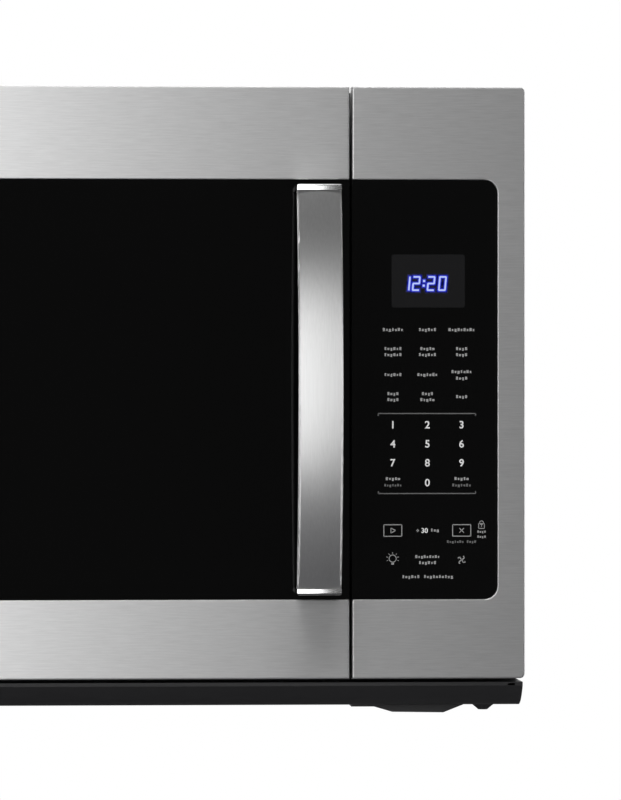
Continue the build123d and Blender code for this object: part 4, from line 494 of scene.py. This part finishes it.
ink = finish("ink_screen_printed_pale", "#949494", "#868686", 8, 0.3, 0.002, **{"Roughness": 0.6})
faint_ink = finish("ink_screen_printed_faint", "#5e5e5e", "#545454", 8, 0.3, 0.002,
                   **{"Roughness": 0.6})
columns = (287.3, 311.5, 335.5)
letter_pitch = 2.1
letter_half_high = 0.75
block_widths = (1.45, 1.2, 1.6, 1.0, 1.35, 1.5, 1.15)
block_rises = (0.6, 0.0, 0.0, 0.5, 0.0, 0.6, 0.0)
block_drops = (0.0, 0.0, 0.55, 0.0, 0.0, 0.0, 0.0)


def blank_word(shape, x, z, letters, pitch=letter_pitch):
    """A row of plain blocks, as long and as high as a printed word, centred on its place."""
    size = pitch / letter_pitch
    kinds = len(block_widths)
    for i in range(letters):
        centre = x + (i - (letters - 1) / 2) * pitch
        low = z - (letter_half_high + block_drops[i % kinds]) * size
        high = z + (letter_half_high + block_rises[i % kinds]) * size
        stroke(shape, (centre, low), (centre, high), block_widths[(i + letters) % kinds] * size)


def ring(shape, x, z, radius, width):
    """A flat ring of ink round a point."""
    section = bmesh.ops.create_circle(shape, segments=4, radius=width / sqrt(2) * MM)["verts"]
    sides = [edge for edge in shape.edges if all(vert in section for vert in edge.verts)]
    bmesh.ops.rotate(shape, verts=section, matrix=Matrix.Rotation(pi / 4, 3, "Z"))
    bmesh.ops.scale(shape, verts=section, vec=(1.0, ink_mm / width, 1.0))
    bmesh.ops.translate(shape, verts=section, vec=((x + radius) * MM, glass_face, z * MM))
    bmesh.ops.spin(shape, geom=section + sides, cent=(x * MM, glass_face, z * MM),
                   axis=(0.0, 1.0, 0.0), dvec=(0.0, 0.0, 0.0), angle=2 * pi, steps=28,
                   use_merge=True, use_duplicate=False)


# A row's height and the letters of its word in each column; no letters, no word
word_rows = (
    (243.95, (7, 6, 9)), (230.65, (6, 5, 4)), (226.45, (6, 6, 4)), (214.55, (0, 0, 7)),
    (212.45, (6, 7, 0)), (210.0, (0, 0, 4)), (199.15, (4, 4, 0)), (197.05, (0, 0, 4)),
    (194.95, (4, 5, 0)), (139.65, (5, 0, 5)),
)
start_row = 103.6
lock_x = 349.55
lamp_word_x = 311.54
lowest_row = 71.05
words = bmesh.new()
for z, row in word_rows:
    for x, letters in zip(columns, row):
        blank_word(words, x, z, letters)
blank_word(words, 316.7, start_row, 3)
blank_word(words, lock_x, 102.55, 4, pitch=1.6)
blank_word(words, lock_x, 99.05, 4, pitch=1.6)
blank_word(words, lamp_word_x, 85.05, 9, pitch=1.95)
blank_word(words, lamp_word_x, 80.85, 6)
blank_word(words, 299.9, lowest_row, 6)
blank_word(words, 319.2, lowest_row, 10)
print_on_panel(words, "key_words_blank", ink)

below_zero_row = 135.1
below_stop_row = 95.55
faint_words = bmesh.new()
blank_word(faint_words, columns[0], below_zero_row, 7, pitch=1.8)
blank_word(faint_words, columns[2], below_zero_row, 7, pitch=1.95)
blank_word(faint_words, 331.1, below_stop_row, 7, pitch=1.75)
blank_word(faint_words, 342.4, below_stop_row, 4, pitch=1.75)
print_on_panel(faint_words, "key_words_faint", faint_ink)

rules = bmesh.new()
rule_left = 277.1
rule_right = 345.35
rule_high = 185.5
rule_low = 129.5
rule_line = 0.75
hook = 1.6
for z, toward in ((rule_high, -1), (rule_low, 1)):
    stroke(rules, (rule_left, z), (rule_right, z), rule_line)
    for x in (rule_left, rule_right):
        stroke(rules, (x, z), (x, z + toward * hook), rule_line)
print_on_panel(rules, "panel_rules", faint_ink)

number_ink = finish("ink_screen_printed_white", "#dcdcdc", "#d2d2d2", 8, 0.3, 0.002,
                    **{"Roughness": 0.6})
numbers = bmesh.new()


def number(shape, text, x, z, height):
    """A plain number, its middle at a point on the panel."""
    curve = bpy.data.curves.new("number", "FONT")
    curve.body = text
    curve.offset = 0.018  # a little bolder than the plain face
    curve.extrude = 0.01
    letter = bpy.data.objects.new("number", curve)
    mesh = bpy.data.meshes.new_from_object(letter)
    known = len(shape.verts)
    shape.from_mesh(mesh)
    shape.verts.ensure_lookup_table()
    verts = shape.verts[known:]
    low = Vector([min(v.co[i] for v in verts) for i in range(3)])
    high = Vector([max(v.co[i] for v in verts) for i in range(3)])
    size = height * MM / (high.y - low.y)
    bmesh.ops.translate(shape, verts=verts, vec=-(low + high) / 2)
    bmesh.ops.scale(shape, verts=verts, vec=(size, size, ink_mm * MM / (high.z - low.z)))
    bmesh.ops.rotate(shape, verts=verts, matrix=Matrix.Rotation(pi / 2, 3, "X"))
    bmesh.ops.translate(shape, verts=verts, vec=(x * MM, glass_face, z * MM))
    bpy.data.objects.remove(letter)


number_rows = (177.66, 164.29, 150.99)
number_high = 5.3
for row, z in enumerate(number_rows):
    for column, x in enumerate(columns):
        number(numbers, str(3 * row + column + 1), x, z, number_high)
number(numbers, "0", columns[1], 137.13, number_high)
number(numbers, "30", 309.6, start_row, 3.5)
print_on_panel(numbers, "key_numbers", number_ink)

# Start, stop, plus, lock, lamp and fan symbols, in the same ink: plain outlines of a line's width.


def outline(shape, points, width):
    """Strokes from each point to the next, and from the last to the first."""
    for start, end in zip(points, points[1:] + points[:1]):
        stroke(shape, start, end, width)


def box_outline(shape, left, right, low, high, width):
    """The four sides of an upright rectangle."""
    outline(shape, [(left, low), (right, low), (right, high), (left, high)], width)


def heading(degrees):
    """The unit vector at an angle from the panel's right."""
    return Vector((cos(radians(degrees)), sin(radians(degrees))))


symbols = bmesh.new()
symbol_line = 0.6
start_key = (280.95, 293.55)
stop_key = (329.25, 341.99)
key_low = 99.61
key_high = 107.66
mark_z = 103.65
box_outline(symbols, *start_key, key_low, key_high, symbol_line)
box_outline(symbols, *stop_key, key_low, key_high, symbol_line)
outline(symbols, [(285.9, 105.4), (285.9, 101.9), (289.2, mark_z)], symbol_line)
cross_left = 334.0
cross_right = 337.2
cross_rise = (cross_right - cross_left) / 2
for rise in (-cross_rise, cross_rise):
    stroke(symbols, (cross_left, mark_z - rise), (cross_right, mark_z + rise), symbol_line)
plus = Vector((304.7, start_row))
for arm in (Vector((1.1, 0.0)), Vector((0.0, 1.1))):
    stroke(symbols, plus - arm, plus + arm, symbol_line)

lock_line = 0.45
lock_half = 2.0
lock_low = 105.0
lock_high = 108.4
keyhole_margin = 1.1
shackle_radius = 1.3
shackle_rise = 0.6
box_outline(symbols, lock_x - lock_half, lock_x + lock_half, lock_low, lock_high, lock_line)
stroke(symbols, (lock_x, lock_low + keyhole_margin), (lock_x, lock_high - keyhole_margin),
       lock_line)
ring(symbols, lock_x, lock_high + shackle_rise, shackle_radius, lock_line)

bulb = Vector((287.15, 84.0))
bulb_radius = 2.5
bulb_line = 0.55
cap = bulb - Vector((0.0, 3.6))
cap_half = Vector((0.9, 0.0))
cap_high = 1.3
beam_start = 3.3
beam_end = 4.5
beam_line = 0.4
ring(symbols, bulb.x, bulb.y, bulb_radius, bulb_line)
stroke(symbols, cap - cap_half, cap + cap_half, cap_high)
for degrees in (-20, 15, 50, 90, 130, 165, 200):
    way = heading(degrees)
    stroke(symbols, bulb + way * beam_start, bulb + way * beam_end, beam_line)

hub = Vector((335.55, 83.0))
blade_lean = 35
blade_reach = 2.3
blade_line = 0.8
tip_reach = 2.6
tip_side = 1.5
tip_line = 0.7
for turn in range(4):
    way = heading(blade_lean + 90 * turn)
    side = Vector((-way.y, way.x))
    bend = hub + way * blade_reach
    stroke(symbols, hub, bend, blade_line)
    stroke(symbols, bend, hub + way * tip_reach + side * tip_side, tip_line)
print_on_panel(symbols, "key_symbols", ink)

# Handle: a bowed stainless bar, brushed along its length, between two polished end caps.

hair_wide_mm = 0.9
hair_long_mm = 60.0
lengthwise_grain = (1 / (hair_wide_mm * MM), 1 / (hair_wide_mm * MM), 1 / (hair_long_mm * MM))
brushed_lengthwise = brushed("stainless_brushed_lengthwise", "#e9e9e9", "#d3d3d3",
                             lengthwise_grain, (1.0, 0.0, 0.0), 0.45, 0.9)
dress(brushed_lengthwise, "handle_bar")
polished = finish("stainless_buffed_bright", "#bcbcbc", "#b4b4b4", 30, 1.5, 0.0003,
                  **{"Metallic": 1.0, "Roughness": 0.18})
tree = polished.node_tree
place = tree.nodes["Texture Coordinate"]
face_flat_at = 255.5 * MM  # the caps' faces are buffed over towards the door's middle
face_crown = 2.5  # fall over the square of the distance from there, per metre
axes = add(polished, "ShaderNodeSeparateXYZ", {}, {"Vector": place.outputs["Object"]})
off_flat = add(polished, "ShaderNodeMath", {"operation": "SUBTRACT", 1: face_flat_at},
               {0: axes.outputs["X"]})
squared = add(polished, "ShaderNodeMath", {"operation": "MULTIPLY"},
              {0: off_flat.outputs["Value"], 1: off_flat.outputs["Value"]})
fallen = add(polished, "ShaderNodeMath", {"operation": "MULTIPLY", 1: -face_crown},
             {0: squared.outputs["Value"]})
crown = add(polished, "ShaderNodeBump", {"Strength": 1.0, "Distance": 1.0},
            {"Height": fallen.outputs["Value"], "Normal": tree.nodes["Bump"].outputs["Normal"]})
tree.links.new(crown.outputs["Normal"], tree.nodes["Principled BSDF"].inputs["Normal"])
dress(polished, "handle_end_caps")

# Floor, lamps and camera: a pale floor well under the hung oven, soft lamps, and a long lens
# straight in front of the oven's middle, turned towards the control side.

floor_reach = 3.2
floor_z = -0.45
camera_glow = 0.66  # keeps the floor even and pale to the camera, whatever lamp is near it
pale_floor = finish("paint_matt_pale", "#ecebe9", "#e6e5e3", 400, 3.0, 0.01, **{"Roughness": 0.8})
shape = bmesh.new()
bmesh.ops.create_grid(shape, x_segments=1, y_segments=1, size=floor_reach)
bmesh.ops.translate(shape, verts=shape.verts, vec=(0.0, -0.2, floor_z))
floor = new_piece(shape, "floor", pale_floor)
surface = pale_floor.node_tree.nodes["Principled BSDF"]
tone = pale_floor.node_tree.nodes["Mix"]
ray = add(pale_floor, "ShaderNodeLightPath")
mirrored_tone = add(pale_floor, "ShaderNodeMix", {"data_type": "RGBA", 7: linear("#58585a")},
                    {0: ray.outputs["Is Glossy Ray"], 6: tone.outputs[2]})
seen_tone = add(pale_floor, "ShaderNodeMix", {"data_type": "RGBA", 7: linear("#8c8b8a")},
                {0: ray.outputs["Is Camera Ray"], 6: mirrored_tone.outputs[2]})
even = add(pale_floor, "ShaderNodeMapRange", {"To Min": 0.0, "To Max": camera_glow},
           {"Value": ray.outputs["Is Camera Ray"]})
surface.inputs["Emission Color"].default_value = (1.0, 1.0, 1.0, 1.0)
pale_floor.node_tree.links.new(seen_tone.outputs[2], surface.inputs["Base Color"])
pale_floor.node_tree.links.new(even.outputs["Result"], surface.inputs["Emission Strength"])
# From below, the floor lets the camera through to the oven's underside
facing = add(pale_floor, "ShaderNodeNewGeometry")
from_below = add(pale_floor, "ShaderNodeMath", {"operation": "MULTIPLY"},
                 {0: facing.outputs["Backfacing"], 1: ray.outputs["Is Camera Ray"]})
clear = add(pale_floor, "ShaderNodeBsdfTransparent")
one_way = add(pale_floor, "ShaderNodeMixShader", {},
              {0: from_below.outputs["Value"], 1: surface.outputs["BSDF"],
               2: clear.outputs["BSDF"]})
pale_floor.node_tree.links.new(one_way.outputs["Shader"],
                               pale_floor.node_tree.nodes["Material Output"].inputs["Surface"])

# World: dim as a light, white to the camera and through glass, and white to mirrors only at the
# back, so that the oven's front mirrors a dark room
dim = 0.09
sky = bpy.data.worlds.new("studio")
bpy.context.scene.world = sky
sky.use_nodes = True
sky.node_tree.nodes.clear()
ray = add(sky, "ShaderNodeLightPath")
seen = add(sky, "ShaderNodeMath", {"operation": "MAXIMUM"},
           {0: ray.outputs["Is Camera Ray"], 1: ray.outputs["Is Transmission Ray"]})
direction = add(sky, "ShaderNodeTexCoord")
axes = add(sky, "ShaderNodeSeparateXYZ", {}, {"Vector": direction.outputs["Generated"]})
behind = add(sky, "ShaderNodeMapRange",
             {"interpolation_type": "SMOOTHSTEP", "From Min": -0.1, "From Max": 0.5},
             {"Value": axes.outputs["Y"]})
mirrored = add(sky, "ShaderNodeMath", {"operation": "MULTIPLY"},
               {0: ray.outputs["Is Glossy Ray"], 1: behind.outputs["Result"]})
white = add(sky, "ShaderNodeMath", {"operation": "MAXIMUM"},
            {0: seen.outputs["Value"], 1: mirrored.outputs["Value"]})
level = add(sky, "ShaderNodeMapRange", {"To Min": dim, "To Max": 1.0},
            {"Value": white.outputs["Value"]})
light = add(sky, "ShaderNodeBackground", {}, {"Strength": level.outputs["Result"]})
light.inputs["Color"].default_value = (1.0, 1.0, 1.0, 1.0)
add(sky, "ShaderNodeOutputWorld", {}, {"Surface": light.outputs["Background"]})


def softbox(name, place, target, width, height, watts):
    """An area lamp that faces a point, hidden from the camera itself."""
    data = bpy.data.lights.new(name, "AREA")
    data.shape = "RECTANGLE"
    data.size = width
    data.size_y = height
    data.energy = watts
    lamp = bpy.data.objects.new(name, data)
    lamp.location = place
    lamp.rotation_euler = (Vector(target) - Vector(place)).to_track_quat("-Z", "Y").to_euler()
    lamp.visible_camera = False
    bpy.context.scene.collection.objects.link(lamp)
    return lamp


# The front lamps at the left pass over the black glass, which would mirror them as grey panes
# from any camera that stands further off than the photo's
passed_over = bpy.data.collections.new("black_glass_passed_over")
for name in ("door_glass", "panel_glass"):
    passed_over.objects.link(nodes[name])
for member in passed_over.collection_objects:
    member.light_linking.link_state = "EXCLUDE"

# Each lamp's place and the point that it faces, its width, height and watts
front_middle = (0.15, -0.39, 0.2)
oven_middle = (0.0, -0.2, 0.2)
near = softbox("front_left_near", (-0.31, -2.4, 0.285), (-0.31, 0.0, 0.285), 0.52, 1.33, 12.5)
far = softbox("front_left_far", (-0.985, -2.4, 0.285), (-0.985, 0.0, 0.285), 0.83, 1.33, 4.2)
for lamp in (near, far):
    lamp.light_linking.receiver_collection = passed_over
softbox("front_right_level", (2.1, -2.0, 0.35), (0.2, -0.3, 0.25), 1.2, 1.0, 5.0)
softbox("overhead_front", (-1.1, -1.9, 3.3), front_middle, 2.0, 1.2, 60)
softbox("overhead_edge", (0.15, -1.2, 2.3), (0.15, -0.39, 0.35), 2.2, 0.35, 14)
softbox("side_left", (-2.9, -0.9, 0.3), front_middle, 1.0, 0.9, 9)
softbox("side_right", (2.9, -0.8, 0.3), front_middle, 1.0, 0.9, 7)
softbox("top_back", (0.0, 1.2, 2.4), oven_middle, 2.5, 1.5, 22)
softbox("back_left", (-2.4, 2.0, 0.8), oven_middle, 1.6, 1.4, 10)
softbox("back_right", (2.4, 2.0, 0.8), oven_middle, 1.6, 1.4, 10)

# The photo is a crop at the right of a level view from straight ahead, so the camera stands in
# front of the oven's middle and turns to the crop's middle on the front's face
camera_place = Vector((0.001, -4.144, 0.19775))
crop_middle = Vector((0.2295, -0.394, 0.19495))
camera_data = bpy.data.cameras.new("camera")
camera_data.lens = 241.9
camera_data.sensor_width = 36.0
camera = bpy.data.objects.new("camera", camera_data)
camera.location = camera_place
aim = crop_middle - camera_place
camera.rotation_euler = aim.to_track_quat("-Z", "Y").to_euler()
bpy.context.scene.collection.objects.link(camera)
bpy.context.scene.camera = camera
bpy.context.scene.view_settings.view_transform = "Standard"
